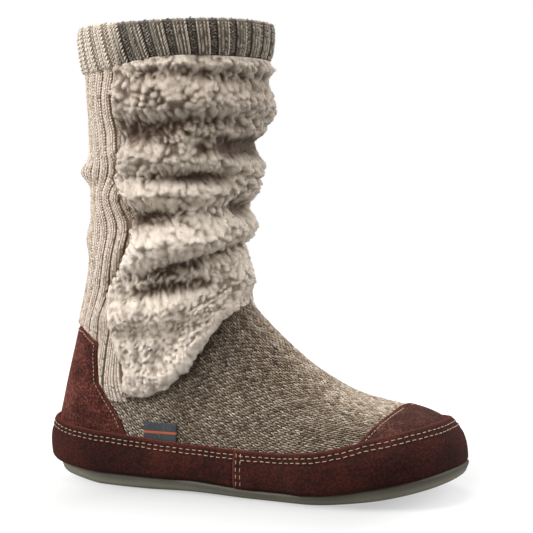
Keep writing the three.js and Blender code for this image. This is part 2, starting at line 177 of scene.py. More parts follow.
SURROUND_LIGHT = 0.32  # what the surround gives to the boot; the camera sees it white
world = bpy.data.worlds.new("studio")
world.use_nodes = True
scene.world = world
surround = world.node_tree.nodes["Background"]
surround.inputs["Color"].default_value = (1, 1, 1, 1)
seen = world.node_tree.nodes.new("ShaderNodeLightPath")
level = world.node_tree.nodes.new("ShaderNodeMapRange")
level.inputs["To Min"].default_value = SURROUND_LIGHT
level.inputs["To Max"].default_value = 1.0
world.node_tree.links.new(seen.outputs["Is Camera Ray"], level.inputs["Value"])
world.node_tree.links.new(level.outputs["Result"], surround.inputs["Strength"])

TABLE_HALF = 6
FOOTPRINT = {"MINIMUM": (0.08, 0, 0), "MAXIMUM": (-0.065, 0, 0)}  # the darkest line of the table
SHADE_SHAPE = (3, 1, 1)  # the shade ends sooner behind the heel and before the toe
SHADE_NEAR, SHADE_FAR, SHADE_LEVEL = 0.03, 0.23, 0.5
table_top = bpy.data.meshes.new("table")
table_top.from_pydata([(a * TABLE_HALF, b * TABLE_HALF, 0) for a, b in ((-1, -1), (1, -1), (1, 1), (-1, 1))],
                      [], [(0, 1, 2, 3)])
table = new_object("table", table_top)
pale = Finish("pale_table", Roughness=0.9, Specular_IOR_Level=0.0, Emission_Color=(1, 1, 1, 1))
nearest_on_footprint = pale.place()
for operation, corner in FOOTPRINT.items():
    nearest_on_footprint = pale.vector(operation, nearest_on_footprint, corner)
reach = pale.vector("MULTIPLY", pale.vector("SUBTRACT", pale.place(), nearest_on_footprint), SHADE_SHAPE)
# The glow is dimmer near the boot's footprint: a painted shadow on the table.
painted_shadow_glow = pale.span(pale.vector("LENGTH", reach), SHADE_NEAR, SHADE_FAR, SHADE_LEVEL, 1.0)
watched = pale.node("ShaderNodeLightPath").outputs["Is Camera Ray"]
pale.tree.links.new(pale.product(painted_shadow_glow, watched), pale.shader.inputs["Emission Strength"])
pale_face = pale.ramp(pale.noise(400), (0.3, "#6b6b6a"), (0.7, "#6f6f6e"))
table.data.materials.append(pale.finish(pale.mix(watched, linear("#8f8d8a"), pale_face)))

# Sock upper: one seamless marled-wool sock, lasted over the foot, brushed pale inside. It shows on the foot
# and inside the collar; the fleece, the ribbed panel and the cuff are sewn over its shaft.
TOE, HEEL = 125.9, -127.2
BALL, SEAT, ANKLE = 46.5, 37.0, 41.5
RIM = 277.0
SECTIONS = np.array([  # top x, top z, back x, back z, half width, centre y, widest share, two roundings
    [TOE, 49, TOE, -8, BALL - 2.5, 3.5, 0.5, 2.5, 4.5],
    [TOE - 20, 50, TOE - 20, -10, BALL - 1.5, 3, 0.5, 2.5, 4.5],
    [86, 53.4, 84, -12, BALL - 0.5, 2, 0.5, 2.3, 4.5],
    [62, 60, 54, -14, BALL, 0, 0.48, 2.1, 4.5],
    [40, 73, 16, -14, BALL - 5, -1.5, 0.42, 2, 4.5],
    [21.5, 88, -30, -14, SEAT + 0.5, -2, 0.42, 2, 4],
    [6, 102, -78, -14, SEAT - 0.5, -1, 0.45, 2, 3.4],
    [-4.5, 113, HEEL + 8.5, -6, SEAT - 0.5, 0, 0.5, 2, 2.8],
    [-9.5, 122, HEEL, 18, SEAT, 0, 0.5, 2, 2.4],
    [-12, 131, HEEL + 6, 50, SEAT + 2, 0, 0.5, 2, 2.3],
    [-13, 142, -110.5, 92, ANKLE, 0, 0.5, 2, 2.2],
    [-12.5, 156, -101.5, 133, ANKLE + 1.5, 0, 0.5, 2.1, 2.1],
    [-10.5, 178, -99.8, 169, ANKLE + 2.5, 0, 0.5, 2.1, 2.1],
    [-4.5, 206, -100.8, 205, ANKLE + 3.5, 0, 0.5, 2.1, 2.1],
    [-1, 238, -102.2, 238, ANKLE + 5, 0, 0.5, 2.1, 2.1],
    [4, RIM - 9, -106, RIM - 9, ANKLE + 7, 0, 0.5, 2.1, 2.1],
    [5, RIM + 19, -107, RIM + 19, ANKLE + 8, 0, 0.5, 2.1, 2.1],
])
TOE_ROUND_FROM, TOE_TIP_HEIGHT, TOE_PLAN_POWER, TOE_HEIGHT_POWER = 84, 17, 2.15, 3
FOLDS = np.array([  # middle in degrees, height, run, rise over a quarter turn, depth, half height
    [40, 246, 80, 2, -2.4, 4.5], [45, 232, 75, 2, 3, 9], [-15, 227, 30, 0, 2, 8], [40, 221, 38, -4, -3, 5],
    [88, 213, 26, 0, -4, 7], [0, 205, 46, -2, -6.5, 6], [85, 199, 38, 0, 2.5, 7], [-8, 191, 26, 0, 4, 9],
    [46, 187, 40, -3, -5, 5], [70, 178, 42, -3, 3, 6], [80, 163, 28, -9, -4.6, 8], [-8, 168, 28, 0, -6.2, 6],
    [45, 151, 60, -12, 4, 8], [50, 136, 50, -20, -4.5, 5.5], [5, 127, 28, 0, 2.5, 7],
    [62, 121, 36, -14, -5, 5.5], [75, 106, 50, -16, 3, 9], [85, 92, 24, -5, -2.5, 6],
    [162, 190, 28, 0, 6, 6], [165, 149, 26, 0, 3, 8], [0, 114, 30, 0, -2, 5], [0, 145, 26, 0, -1.5, 5],
])
SOCK_FOLD_SHARE = 0.4  # the sock follows the folds of the fleece only in part
INNER_FROM, INNER_TO, INNER_RISE = 10, 50, 4  # degrees where the inner side begins; its folds lie higher
FOLD_FLOOR, FOLD_FULL = 84, 108  # the folds fade out below the shaft
SOCK_WALL = 3.0
SOCK_GROUND = -0.5  # the knitted ground lies under its stitches
RIM_COVER = 2.5  # the sock ends this far below the cuff's top
PIECE_GAP = 0.3
SOLE_LINE = np.array([  # x, underside, top edge
    [-140, 8, 14], [-122, 4.5, 12.4], [-104, 2, 10.6], [-88, 0, 9], [-56, 0, 8.3], [-24, 0.8, 7.9],
    [14, 0, 5.8], [50, 0, 6], [70, 1.4, 8], [94, 4.8, 12.8], [116, 9.8, 17.6], [140, 16.5, 23.6],
])


def through_rows(rows, i, t):
    """A smooth curve through the rows of a table, at share t between row i and the next."""
    last = len(rows) - 1
    before, start, end, after = (rows[np.clip(i + j, 0, last)] for j in (-1, 0, 1, 2))
    t = t[..., None]
    leave, arrive = (end - before) / 2, (after - start) / 2
    cube = 2 * (start - end) + leave + arrive
    square = 3 * (end - start) - 2 * leave - arrive
    return ((cube * t + square) * t + leave) * t + start


def line_height(rows, column, x):
    """The height of an edge line at x along the foot."""
    i = np.clip(np.searchsorted(rows[:, 0], x, side="right") - 1, 0, len(rows) - 2)
    t = np.clip((x - rows[i, 0]) / (rows[i + 1, 0] - rows[i, 0]), 0, 1)
    return through_rows(rows, i, t)[..., column]


def eased(low, high, x):
    """A soft step from 0 at low to 1 at high."""
    t = np.clip((x - low) / (high - low), 0, 1)
    return t * t * (3 - 2 * t)


def last_point(k, phi):
    """The last: k runs over its sections from the toe up, phi round each from its top by the outer side."""
    k, phi = np.broadcast_arrays(np.asarray(k, float), np.asarray(phi, float))
    i = np.clip(np.floor(k).astype(int), 0, len(SECTIONS) - 2)
    row = through_rows(SECTIONS, i, k - i)
    top_x, top_z, back_x, back_z, half, centre, widest, top_round, back_round = np.moveaxis(row, -1, 0)
    u = np.clip((back_x - TOE_ROUND_FROM) / (TOE - TOE_ROUND_FROM), 0, 1)
    plan = (1 - u ** TOE_PLAN_POWER) ** (1 / TOE_PLAN_POWER)
    rise = (1 - u ** TOE_HEIGHT_POWER) ** (1 / TOE_HEIGHT_POWER)
    top_z = TOE_TIP_HEIGHT + (top_z - TOE_TIP_HEIGHT) * rise
    back_z = TOE_TIP_HEIGHT + (back_z - TOE_TIP_HEIGHT) * rise
    c, s = np.cos(phi), np.sin(phi)
    power = 2 / np.where(c > 0, top_round, back_round)
    share = widest + np.where(c > 0, 1 - widest, widest) * np.sign(c) * np.abs(c) ** power
    y = centre - half * plan * np.sign(s) * np.abs(s) ** power
    return np.stack([back_x + (top_x - back_x) * share, y, back_z + (top_z - back_z) * share], -1)


def unit(vectors):
    return vectors / np.maximum(np.linalg.norm(vectors, axis=-1, keepdims=True), 1e-9)


def last_normal(k, phi, step=0.004):
    k = np.asarray(k, float)
    along = last_point(k + step, phi) - last_point(np.maximum(k - step, 0), phi)
    across = last_point(k, phi + step) - last_point(k, phi - step)
    return unit(np.cross(along, across))


def fold_depth(phi, z):
    """How far the slouched shaft stands out in a ridge or in at a crease; both sides fold alike."""
    degrees = (np.degrees(phi) + 180) % 360 - 180
    inner = eased(INNER_FROM, INNER_TO, -degrees)
    depth = np.zeros(np.broadcast(degrees, z).shape)
    for middle, height, run, rise, deep, reach in FOLDS:
        for side, share, lift in ((1, 1 - inner, 0), (-1, inner, INNER_RISE)):
            away = side * degrees - middle
            level = height + rise * away / 90 + lift
            depth += share * deep * np.exp(-((away / run) ** 2) - ((z - level) / reach) ** 2)
    return depth * eased(FOLD_FLOOR, FOLD_FULL, z)


def on_sock(k, phi, offset):
    """Points this far outside the sock; offset is a number or an array."""
    base = last_point(k, phi)
    lift = offset + SOCK_FOLD_SHARE * fold_depth(phi, base[..., 2])
    return base + last_normal(k, phi) * np.asarray(lift)[..., None]


def grid_quads(rows, columns, wrap=False):
    """The faces of a grid of points, closed round its columns where it wraps."""
    r, c = np.meshgrid(np.arange(rows - 1), np.arange(columns if wrap else columns - 1), indexing="ij")
    right = (c + 1) % columns
    corners = [r * columns + c, r * columns + right, (r + 1) * columns + right, (r + 1) * columns + c]
    return np.stack(corners, -1).reshape(-1, 4)


def open_edges(quads):
    """The directed edges that only one face has."""
    edges = np.concatenate([quads[:, [i, (i + 1) % 4]] for i in range(4)])
    codes = edges[:, 0] * (quads.max() + 1) + edges[:, 1]
    reverse = edges[:, 1] * (quads.max() + 1) + edges[:, 0]
    return edges[~np.isin(codes, reverse)]


def cut_patch(k_rows, phi_columns, outside, wrap=False, near=3.0):
    """A patch of the sock's surface, cut cleanly along the line where outside(k, phi), in mm, is 0."""
    k, phi = (a.ravel() for a in np.meshgrid(k_rows, phi_columns, indexing="ij"))
    quads = grid_quads(len(k_rows), len(phi_columns), wrap)
    quads = quads[(outside(k, phi)[quads] <= 0).all(1)]
    used, quads = np.unique(quads, return_inverse=True)
    k, phi, quads = k[used], phi[used], quads.reshape(-1, 4)
    rim = np.unique(open_edges(quads))
    rim = rim[outside(k[rim], phi[rim]) > -near]
    step, furthest = 0.003, 0.7
    for _ in range(6):
        a, b = k[rim], phi[rim]
        value = outside(a, b)
        here = last_point(a, b)
        size_k = np.linalg.norm(last_point(a + step, b) - here, axis=-1) / step
        size_phi = np.linalg.norm(last_point(a, b + step) - here, axis=-1) / step
        slope_k = (outside(a + step, b) - value) / step / size_k
        slope_phi = (outside(a, b + step) - value) / step / size_phi
        move = np.clip(value / np.maximum(slope_k ** 2 + slope_phi ** 2, 0.05), -furthest, furthest)
        k[rim] = np.maximum(a - move * slope_k / size_k, 0)
        phi[rim] = b - move * slope_phi / size_phi
    return k, phi, quads


def mesh_piece(name, points_mm, quads, attributes=()):
    """A smooth mesh object from points in mm and its faces, with named values on its points."""
    mesh = bpy.data.meshes.new(name)
    mesh.vertices.add(len(points_mm))
    mesh.vertices.foreach_set("co", (np.asarray(points_mm) * MM).astype(np.float32).ravel())
    mesh.loops.add(quads.size)
    mesh.loops.foreach_set("vertex_index", quads.astype(np.int32).ravel())
    mesh.polygons.add(len(quads))
    mesh.polygons.foreach_set("loop_start", np.arange(0, quads.size, quads.shape[1], dtype=np.int32))
    for label, values in dict(attributes).items():
        mesh.attributes.new(label, "FLOAT", "POINT").data.foreach_set("value", values.astype(np.float32))
    mesh.update(calc_edges=True)
    mesh.validate()
    mesh.shade_smooth()
    return new_object(name, mesh)


def thick(quads, count):
    """Faces of a sheet with an outer and an inner side: the inner points follow the outer ones."""
    rim = open_edges(quads)
    sides = np.stack([rim[:, 1], rim[:, 0], rim[:, 0] + count, rim[:, 1] + count], -1)
    return np.concatenate([quads, quads[:, ::-1] + count, sides])


def facing_out(piece):
    """Turns every face of a closed piece outwards, after doubled points are joined."""
    work = bmesh.new()
    work.from_mesh(piece.data)
    bmesh.ops.remove_doubles(work, verts=work.verts, dist=2e-6)
    bmesh.ops.recalc_face_normals(work, faces=work.faces)
    work.to_mesh(piece.data)
    work.free()
    piece.data.shade_smooth()


def dress(piece, slot, material, *nodes):
    """Gives a piece its finish, hangs it on the boot and lets it stand for its solids."""
    if material:
        piece.data.materials.clear()
        piece.data.materials.append(material)
    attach(piece, "root")
    if nodes:
        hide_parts(*nodes)


def sole_top(x):
    """The outsole's top edge."""
    return line_height(SOLE_LINE, 2, x)


def side_view(k, phi):
    """Where points of the last lie seen from the side: x and height."""
    base = last_point(k, phi)
    return base[..., 0], base[..., 2]


def outside_sock(k, phi):
    """How far below the outsole's top edge or above the sock's rim."""
    x, z = side_view(k, phi)
    return np.maximum(sole_top(x) + PIECE_GAP - z, z - (RIM - RIM_COVER))


sock_rows = np.concatenate([np.linspace(0.002, 1, 18)[:-1], np.linspace(1, 15.6, 110)])
k, phi, quads = cut_patch(sock_rows, np.linspace(0, 2 * np.pi, 130, endpoint=False), outside_sock, wrap=True)
outer = on_sock(k, phi, SOCK_GROUND)
inner = on_sock(k, phi, -SOCK_WALL)
inside = np.repeat([0.0, 1.0], len(k))
sock = mesh_piece("sock_upper", np.concatenate([outer, inner]), thick(quads, len(k)), {"inside": inside})
facing_out(sock)
wool = Finish("sock_wool_ground", Roughness=0.95, Sheen_Weight=0.2)
brushed = wool.noise(0.8, 5, 0.7)
ground = wool.ramp(brushed, (0.3, "#332a22"), (0.7, "#4a3f34"))
lining = wool.ramp(wool.noise(2.5, 4), (0.3, "#b3a590"), (0.7, "#dccfbd"))
dress(sock, "knit", wool.finish(
    wool.mix(wool.attribute("inside"), ground, lining), normal=wool.bump(brushed, 0.5)), "upper")

# Knit stitches: the loops of the marled yarn that show on the foot, in wales that run from the ankle to the
# toe, each loop two slanted legs. Pale and dark fibres, spun together, give the marl.
CAP_SLANT = 0.7
CAP_EDGE = np.array([[0, 79], [30, 79], [37, 81], [45, 87.5], [50.5, 92.5], [90, 91]])  # height, x
COUNTER_EDGE = np.array([[0, -66], [30, -66], [42.5, -72], [53, -79.5], [63, -85.5], [80, -85.5], [87, -84.5],
                         [99, -84.5]])  # height, x
COUNTER_TOP = np.array([[-180, 99], [-97, 95], [-84.5, 87], [-60, 71]])  # x, height
FLEECE_BACK = np.array([[40, -69], [56, -69], [70, -68], [95, -75], [116, -77], [133, -67], [148, -59],
                        [168, -59], [185, -69], [205, -64], [228, -69], [290, -70]])  # height, x
FLEECE_LOWER = np.array([[-90, 55], [-69, 55], [-52, 56.5], [-40, 62], [-28, 72], [-20, 86], [-12, 100],
                         [-3, 109], [40, 113]])  # x, height
FOXING_TOP = np.array([[-142, 41], [-122, 38.6], [-100, 35.2], [-74, 33], [-34, 30.2], [-4, 28.8], [30, 28.4],
                       [60, 30.8], [88, 37.2], [114, 43], [142, 48.5]])  # x, height
CUFF_FOOT = 253.0


def past_cap(x, z):
    """How far outside the toe cap's outline, seen from the side; less than 0 is under the cap."""
    return (np.interp(z, *CAP_EDGE.T) - x) * CAP_SLANT


def past_counter(x, z):
    """How far outside the heel counter's outline."""
    return np.maximum(x - np.interp(z, *COUNTER_EDGE.T), z - np.interp(x, *COUNTER_TOP.T))


def fleece_back(z):
    """Where the fleece's back edge lies along X at a height."""
    return np.interp(z, *FLEECE_BACK.T)


def past_fleece(x, z):
    """How far outside the fleece's outline."""
    return np.maximum.reduce([
        fleece_back(z) - x, np.interp(x, *FLEECE_LOWER.T) - z, z - (CUFF_FOOT - PIECE_GAP)])


def foxing_top(x):
    """The top edge of the suede band."""
    return line_height(FOXING_TOP, 1, x)


def frames(along, normal):
    """Turns, as Euler angles, that bring X along a direction and Z onto a normal."""
    z = unit(normal)
    x = unit(along - z * np.sum(along * z, -1, keepdims=True))
    y = np.cross(z, x)
    pitch = -np.arcsin(np.clip(x[:, 2], -1, 1))
    return np.stack([np.arctan2(y[:, 2], z[:, 2]), pitch, np.arctan2(x[:, 1], x[:, 0])], -1)


def scatter_tree():
    """Copies of a shape on points, each turned and sized by the point's own values."""
    tree = bpy.data.node_groups.new("sewn_copies", "GeometryNodeTree")
    given_kinds = {"Points": "Geometry", "Shape": "Object", "Length": "Float", "Width": "Float",
                   "Thickness": "Float", "Finish": "Material"}
    for label, kind in given_kinds.items():
        tree.interface.new_socket(label, in_out="INPUT", socket_type="NodeSocket" + kind)
    tree.interface.new_socket("Mesh", in_out="OUTPUT", socket_type="NodeSocketGeometry")
    add, link = tree.nodes.new, tree.links.new
    given, shape = add("NodeGroupInput"), add("GeometryNodeObjectInfo")
    turn, size = add("GeometryNodeInputNamedAttribute"), add("GeometryNodeInputNamedAttribute")
    for node, label in ((turn, "turn"), (size, "size")):
        node.data_type = "FLOAT_VECTOR"
        node.inputs["Name"].default_value = label
    rotation, whole = add("FunctionNodeEulerToRotation"), add("ShaderNodeCombineXYZ")
    scale = add("ShaderNodeVectorMath")
    scale.operation = "MULTIPLY"
    copies, real = add("GeometryNodeInstanceOnPoints"), add("GeometryNodeRealizeInstances")
    finish, made = add("GeometryNodeSetMaterial"), add("NodeGroupOutput")
    link(given.outputs["Shape"], shape.inputs["Object"])
    for axis, label in zip("XYZ", ("Length", "Width", "Thickness")):
        link(given.outputs[label], whole.inputs[axis])
    link(size.outputs["Attribute"], scale.inputs[0])
    link(whole.outputs[0], scale.inputs[1])
    link(turn.outputs["Attribute"], rotation.inputs[0])
    link(given.outputs["Points"], copies.inputs["Points"])
    link(shape.outputs["Geometry"], copies.inputs["Instance"])
    link(rotation.outputs[0], copies.inputs["Rotation"])
    link(scale.outputs[0], copies.inputs["Scale"])
    link(copies.outputs[0], real.inputs[0])
    link(real.outputs[0], finish.inputs["Geometry"])
    link(given.outputs["Finish"], finish.inputs["Material"])
    link(finish.outputs[0], made.inputs[0])
    return tree


sewn_copies = scatter_tree()


def made_real(source, name, tree, **values):
    """Runs a tree on an object and keeps the result as a plain mesh."""
    modifier = source.modifiers.new("tree", "NODES")
    modifier.node_group = tree
    for item in tree.interface.items_tree:
        if item.in_out == "INPUT" and item.name in values:
            modifier[item.identifier] = values[item.name]
    graph = bpy.context.evaluated_depsgraph_get()
    mesh = bpy.data.meshes.new_from_object(
        source.evaluated_get(graph), preserve_all_data_layers=True, depsgraph=graph)
    mesh.name = name
    bpy.data.objects.remove(source)
    return new_object(name, mesh)


def scatter(name, shape, points_mm, along, normal, sizes, shade, material, size_mm=(1, 1, 1), lie=None):
    """One joined mesh of a small shape's copies: sizes multiply size_mm, shade is each copy's tone, and lie
    the normal of the cloth below it."""
    source_mesh = bpy.data.meshes.new(name + "_points")
    source_mesh.vertices.add(len(points_mm))
    source_mesh.vertices.foreach_set("co", (points_mm * MM).astype(np.float32).ravel())
    vectors = {"turn": frames(along, normal), "size": sizes}
    if lie is not None:
        vectors["lie"] = lie
    for label, values in vectors.items():
        layer = source_mesh.attributes.new(label, "FLOAT_VECTOR", "POINT")
        layer.data.foreach_set("vector", values.astype(np.float32).ravel())
    source_mesh.attributes.new("shade", "FLOAT", "POINT").data.foreach_set("value", shade.astype(np.float32))
    length, width, thickness = (v * MM for v in size_mm)
    source = new_object(name + "_points", source_mesh)
    piece = made_real(source, name, sewn_copies, Shape=shape, Length=length, Width=width, Thickness=thickness,
                      Finish=material)
    for label in ("turn", "size"):
        if label in piece.data.attributes:
            piece.data.attributes.remove(piece.data.attributes[label])
    return piece


def spindle(name, stations, sides):
    """A small closed strand along X, unit length, width and thickness: stations are x, radius and lift."""
    angles = np.linspace(0, 2 * np.pi, sides, endpoint=False)
    points = [(x, 0.5 * r * math.cos(a), 0.5 * r * math.sin(a) + lift)
              for x, r, lift in stations for a in angles]
    faces = grid_quads(len(stations), sides, wrap=True).tolist()
    faces += [list(range(sides)), list(reversed(range(len(points) - sides, len(points))))]
    mesh = bpy.data.meshes.new(name)
    mesh.from_pydata(points, [], faces)
    mesh.shade_smooth()
    shape = new_object(name, mesh)
    facing_out(shape)
    return shape


LOOP_LEG = spindle("loop_leg", [(-0.5, 0.45, -0.3), (-0.2, 1, 0.05), (0.2, 1, 0.05), (0.5, 0.45, -0.3)], 4)
LEG_ROW = 1.4
COURSE_PITCH = 3.3
COURSE_SHIFT = 0.56  # of a pitch, from each row to the next
ROW_FAN, FAN_SECTION = 0.12, 4.6  # the rows spread as the foot widens, measured from this section
LEG_SLANT = math.radians(10)
LEG_LAP, LEG_FILL, LEG_THICK = 1.2, 0.68, 1.5  # length by pitch, width by row, thickness in mm
LEG_SINK = -0.15
SUEDE_TUCK, FOXING_TUCK, FLEECE_TUCK, BACK_TUCK = 3, 2, 5, 2  # how far stitches run in under each piece
BACK_FOOT = 68  # the back panel covers the knit above this height
rng = np.random.default_rng(7)


def run_length(points):
    """The distance along a line of points, at each of them."""
    return np.concatenate([[0], np.cumsum(np.linalg.norm(np.diff(points, axis=0), axis=-1))])


def even_steps(points, pitch, start=0.5):
    """Even steps of a pitch along a line of points, as places between the points."""
    length = run_length(points)
    return np.interp(np.arange(pitch * start, length[-1], pitch), length, np.arange(len(points)))


def knit_legs(side):
    """The loop legs on one side of the foot, in rows beside the instep's ridge: k, phi, heading, row width
    and the side that each leg slants to."""
    k_line, from_widest = np.linspace(1.0, 9.5, 320), np.linspace(-1, 1, 320)
    girth_line = np.pi / 2 * (1 + from_widest * np.abs(from_widest))
    points = last_point(k_line[:, None], side * girth_line)
    girth = np.cumsum(np.linalg.norm(np.diff(points, axis=1, prepend=points[:, :1]), axis=-1), 1)
    covered = points[..., 2] < foxing_top(points[..., 0])
    last_shown = np.where(covered.any(1), covered.argmax(1), girth.shape[1] - 1)
    shown_girth = girth[np.arange(len(girth)), last_shown]
    fan = (shown_girth / np.interp(FAN_SECTION, k_line, shown_girth)) ** ROW_FAN
    legs = []
    for n in range(int(girth.max() / LEG_ROW)):
        phi = side * np.array([np.interp(r, g, girth_line) for r, g in zip((n + 0.5) * LEG_ROW * fan, girth)])
        line = last_point(k_line, phi)
        marks = even_steps(line, COURSE_PITCH, (0.5 + COURSE_SHIFT * n) % 1)
        columns = [k_line, phi, *np.gradient(line, axis=0).T, fan * LEG_ROW]
        sampled = [np.interp(marks, np.arange(len(k_line)), column) for column in columns]
        legs.append(np.stack(sampled + [np.full(len(marks), 1.0 - 2.0 * (n % 2))], -1))
    return np.concatenate(legs)


def knit_shade(x, z, phi):
    """The yarn's tone: flecked, painted shade below the fleece, painted light on the instep and toe, paler
    behind.
    """
    fleck = rng.normal(0.6, 0.13, len(x)) - 0.25 * (rng.uniform(size=len(x)) < 0.1)
    on_ridge = eased(0.75, 0.1, np.abs(phi))
    # Painted shade where the fleece hangs over the knit, less on the instep's ridge.
    fleece_shadow = eased(62, 2, past_fleece(x, z)) * eased(-55, -15, x) * (1 - on_ridge)
    # Painted light on the instep's ridge and towards the toe; the back is paler.
    light = 0.07 * on_ridge + 0.04 * eased(20, 90, x) + 0.2 * eased(-20, -60, x)
    return np.clip(fleck - 0.32 * fleece_shadow + light, 0, 1)


def marled_yarn(name, sheen, fibre_mm, fleck, stops, full=1.0):
    """Wool yarn, flecked by its fibres; its colour goes by each stitch's shade, up to full, the palest."""
    yarn = Finish(name, Roughness=0.95, Sheen_Weight=sheen, Sheen_Roughness=0.5)
    fibre = yarn.noise(fibre_mm, 4, 0.7)
    tone = yarn.sum(yarn.attribute("shade"), yarn.span(fibre, 0.3, 0.7, -fleck, fleck))
    return yarn.finish(yarn.ramp(yarn.span(tone, 0, full), *stops), normal=yarn.bump(fibre, 0.3))


legs = np.concatenate([knit_legs(1), knit_legs(-1)])
x, z = side_view(legs[:, 0], legs[:, 1])
shown = (past_cap(x, z) > -SUEDE_TUCK) & (past_counter(x, z) > -SUEDE_TUCK)
shown &= (z > foxing_top(x) - FOXING_TUCK) & (past_fleece(x, z) > -FLEECE_TUCK)
shown &= ~((x < fleece_back(z) - BACK_TUCK) & (z > BACK_FOOT))
legs, x, z = legs[shown], x[shown], z[shown]
k, phi, along, row_width, leg_side = legs[:, 0], legs[:, 1], unit(legs[:, 2:5]), legs[:, 5], legs[:, 6]
normal = last_normal(k, phi)
slant = (LEG_SLANT + rng.normal(0, 0.06, len(k))) * leg_side
heading = along * np.cos(slant)[:, None] + np.cross(normal, along) * np.sin(slant)[:, None]
leg_length, leg_thick = np.full(len(k), COURSE_PITCH * LEG_LAP), np.full(len(k), LEG_THICK)
sizes = np.stack([leg_length, row_width * LEG_FILL, leg_thick], -1)
sizes *= rng.normal(1, 0.06, sizes.shape)
shade = knit_shade(x, z, phi)
points = on_sock(k, phi, LEG_SINK + rng.normal(0, 0.08, len(k))) + along * rng.normal(0, 0.2, (len(k), 1))
marled_wool = marled_yarn("marled_wool", 0.1, 0.45, 0.26, (
    (0.0, "#2d2217"), (0.3, "#5e4c3a"), (0.6, "#907e6a"), (1.0, "#c5baab")))
stitches = scatter("knit_stitches", LOOP_LEG, points, heading, normal, sizes, shade, marled_wool)
dress(stitches, "knit", None)

HAIR_BLADE = [
    (-0.5, -0.5, 0), (-0.5, 0.5, 0), (0, -0.5, 0.35), (0, 0.5, 0.35), (0.5, -0.15, 0.15), (0.5, 0.15, 0.15)]
blade = bpy.data.meshes.new("loose_hair")
blade.from_pydata(HAIR_BLADE, [], [(0, 2, 3, 1), (2, 4, 5, 3)])
LOOSE_HAIR = new_object("loose_hair", blade)
WOOL_HAIR = (2.0, 0.08, 0.8)
WOOL_HAIRS = 6000
WOOL_HAIR_SHADE = 0.8
fuzzy = rng.choice(len(k), WOOL_HAIRS)
hair_heading = rng.normal(0, 1, (WOOL_HAIRS, 3)) + normal[fuzzy] * 0.7
hair_points = points[fuzzy] + normal[fuzzy] * 0.9 + rng.normal(0, 0.6, (WOOL_HAIRS, 3))
hair_normal = normal[fuzzy] + rng.normal(0, 0.4, (WOOL_HAIRS, 3))
hair_sizes = rng.normal(1, 0.2, (WOOL_HAIRS, 3)).clip(0.5, 1.6)
knit_fuzz = scatter("knit_fuzz", LOOSE_HAIR, hair_points, hair_heading, hair_normal, hair_sizes,
                    np.full(WOOL_HAIRS, WOOL_HAIR_SHADE), marled_wool, WOOL_HAIR)
dress(knit_fuzz, "knit", None)

# Insole: a soft padded footbed, faced with short pale pile. It is cut to the last, a little smaller than the
# inside of the sock, and laid in loose on the outsole.
RAY_HEEL, RAY_TOE, RAY_Y = -82.0, 70.0, 1.0
RAY_ROUND, RAY_COUNT = 6, 1200  # one round of the foot in ray places, and its steps in the table of reaches
LEVEL_STEP = 2.0
RAY_LEVELS = np.arange(4, 62, LEVEL_STEP)
BAND_MIDDLE = 20.0  # the height at which the search for an edge line starts
SIDE_STEPS, TOE_STEPS_ROUND, HEEL_STEPS_ROUND = 76, 44, 30


def ray(s):
    """Where a horizontal ray round the foot starts and points: s runs from the heel by the outer side to the
    toe, then back by the inner side, from 0 to RAY_ROUND."""
    s = np.asarray(s, float)
    on_side = np.clip(s - 1, 0, 1) - np.clip(s - 4, 0, 1)
    start = np.stack([RAY_HEEL + (RAY_TOE - RAY_HEEL) * on_side, np.full(s.shape, RAY_Y)], -1)
    turn = np.pi + np.pi / 2 * (np.clip(s, 0, 1) + np.clip(s - 2, 0, 2) + np.clip(s - 5, 0, 1))
    return start, np.stack([np.cos(turn), np.sin(turn)], -1)


def ray_of(x, y):
    """The ray that passes through a point, and how far out the point lies on it."""
    lateral = y < RAY_Y
    heel, toe = x < RAY_HEEL, x > RAY_TOE
    start = np.clip(x, RAY_HEEL, RAY_TOE)
    out = np.hypot(x - start, y - RAY_Y)
    angle = np.arctan2(np.abs(y - RAY_Y), np.abs(x - start)) / (np.pi / 2)
    side = (start - RAY_HEEL) / (RAY_TOE - RAY_HEEL)
    s = np.where(heel, angle, np.where(toe, 3 - angle, 1 + side))
    return np.where(lateral, s, RAY_ROUND - s), out


def halved(low, high, below):
    """The place where below turns from true to false, by halving."""
    low, high = np.array(low, float), np.array(high, float)
    for _ in range(36):
        middle = (low + high) / 2
        test = below(middle)
        low, high = np.where(test, middle, low), np.where(test, high, middle)
    return (low + high) / 2


def level_outline(z):
    """The last's outline at one height, as ray places and distances."""
    if z >= TOE_TIP_HEIGHT:
        first = halved(0, 1.4, lambda k: last_point(k, 0.0)[..., 2] < z)
    else:
        first = halved(0, 1.4, lambda k: last_point(k, np.pi)[..., 2] > z)
    last = halved(6.3, 10.5, lambda k: last_point(k, np.pi)[..., 2] < z)
    share = (1 - np.cos(np.linspace(0, np.pi, 500))) / 2
    k = first + (last - first) * share
    places, reaches = [], []
    for side in (1, -1):
        phi = halved(np.zeros(500), np.full(500, np.pi), lambda p: last_point(k, side * p)[..., 2] > z)
        point = last_point(k, side * phi)
        s, out = ray_of(point[:, 0], point[:, 1])
        places.append(s)
        reaches.append(out)
    s, out = np.concatenate(places), np.concatenate(reaches)
    order = np.argsort(s)
    return s[order], out[order]


RAY_GRID = np.linspace(0, RAY_ROUND, RAY_COUNT + 1)
REACHES = np.array([np.interp(RAY_GRID, *level_outline(z), period=RAY_ROUND) for z in RAY_LEVELS])


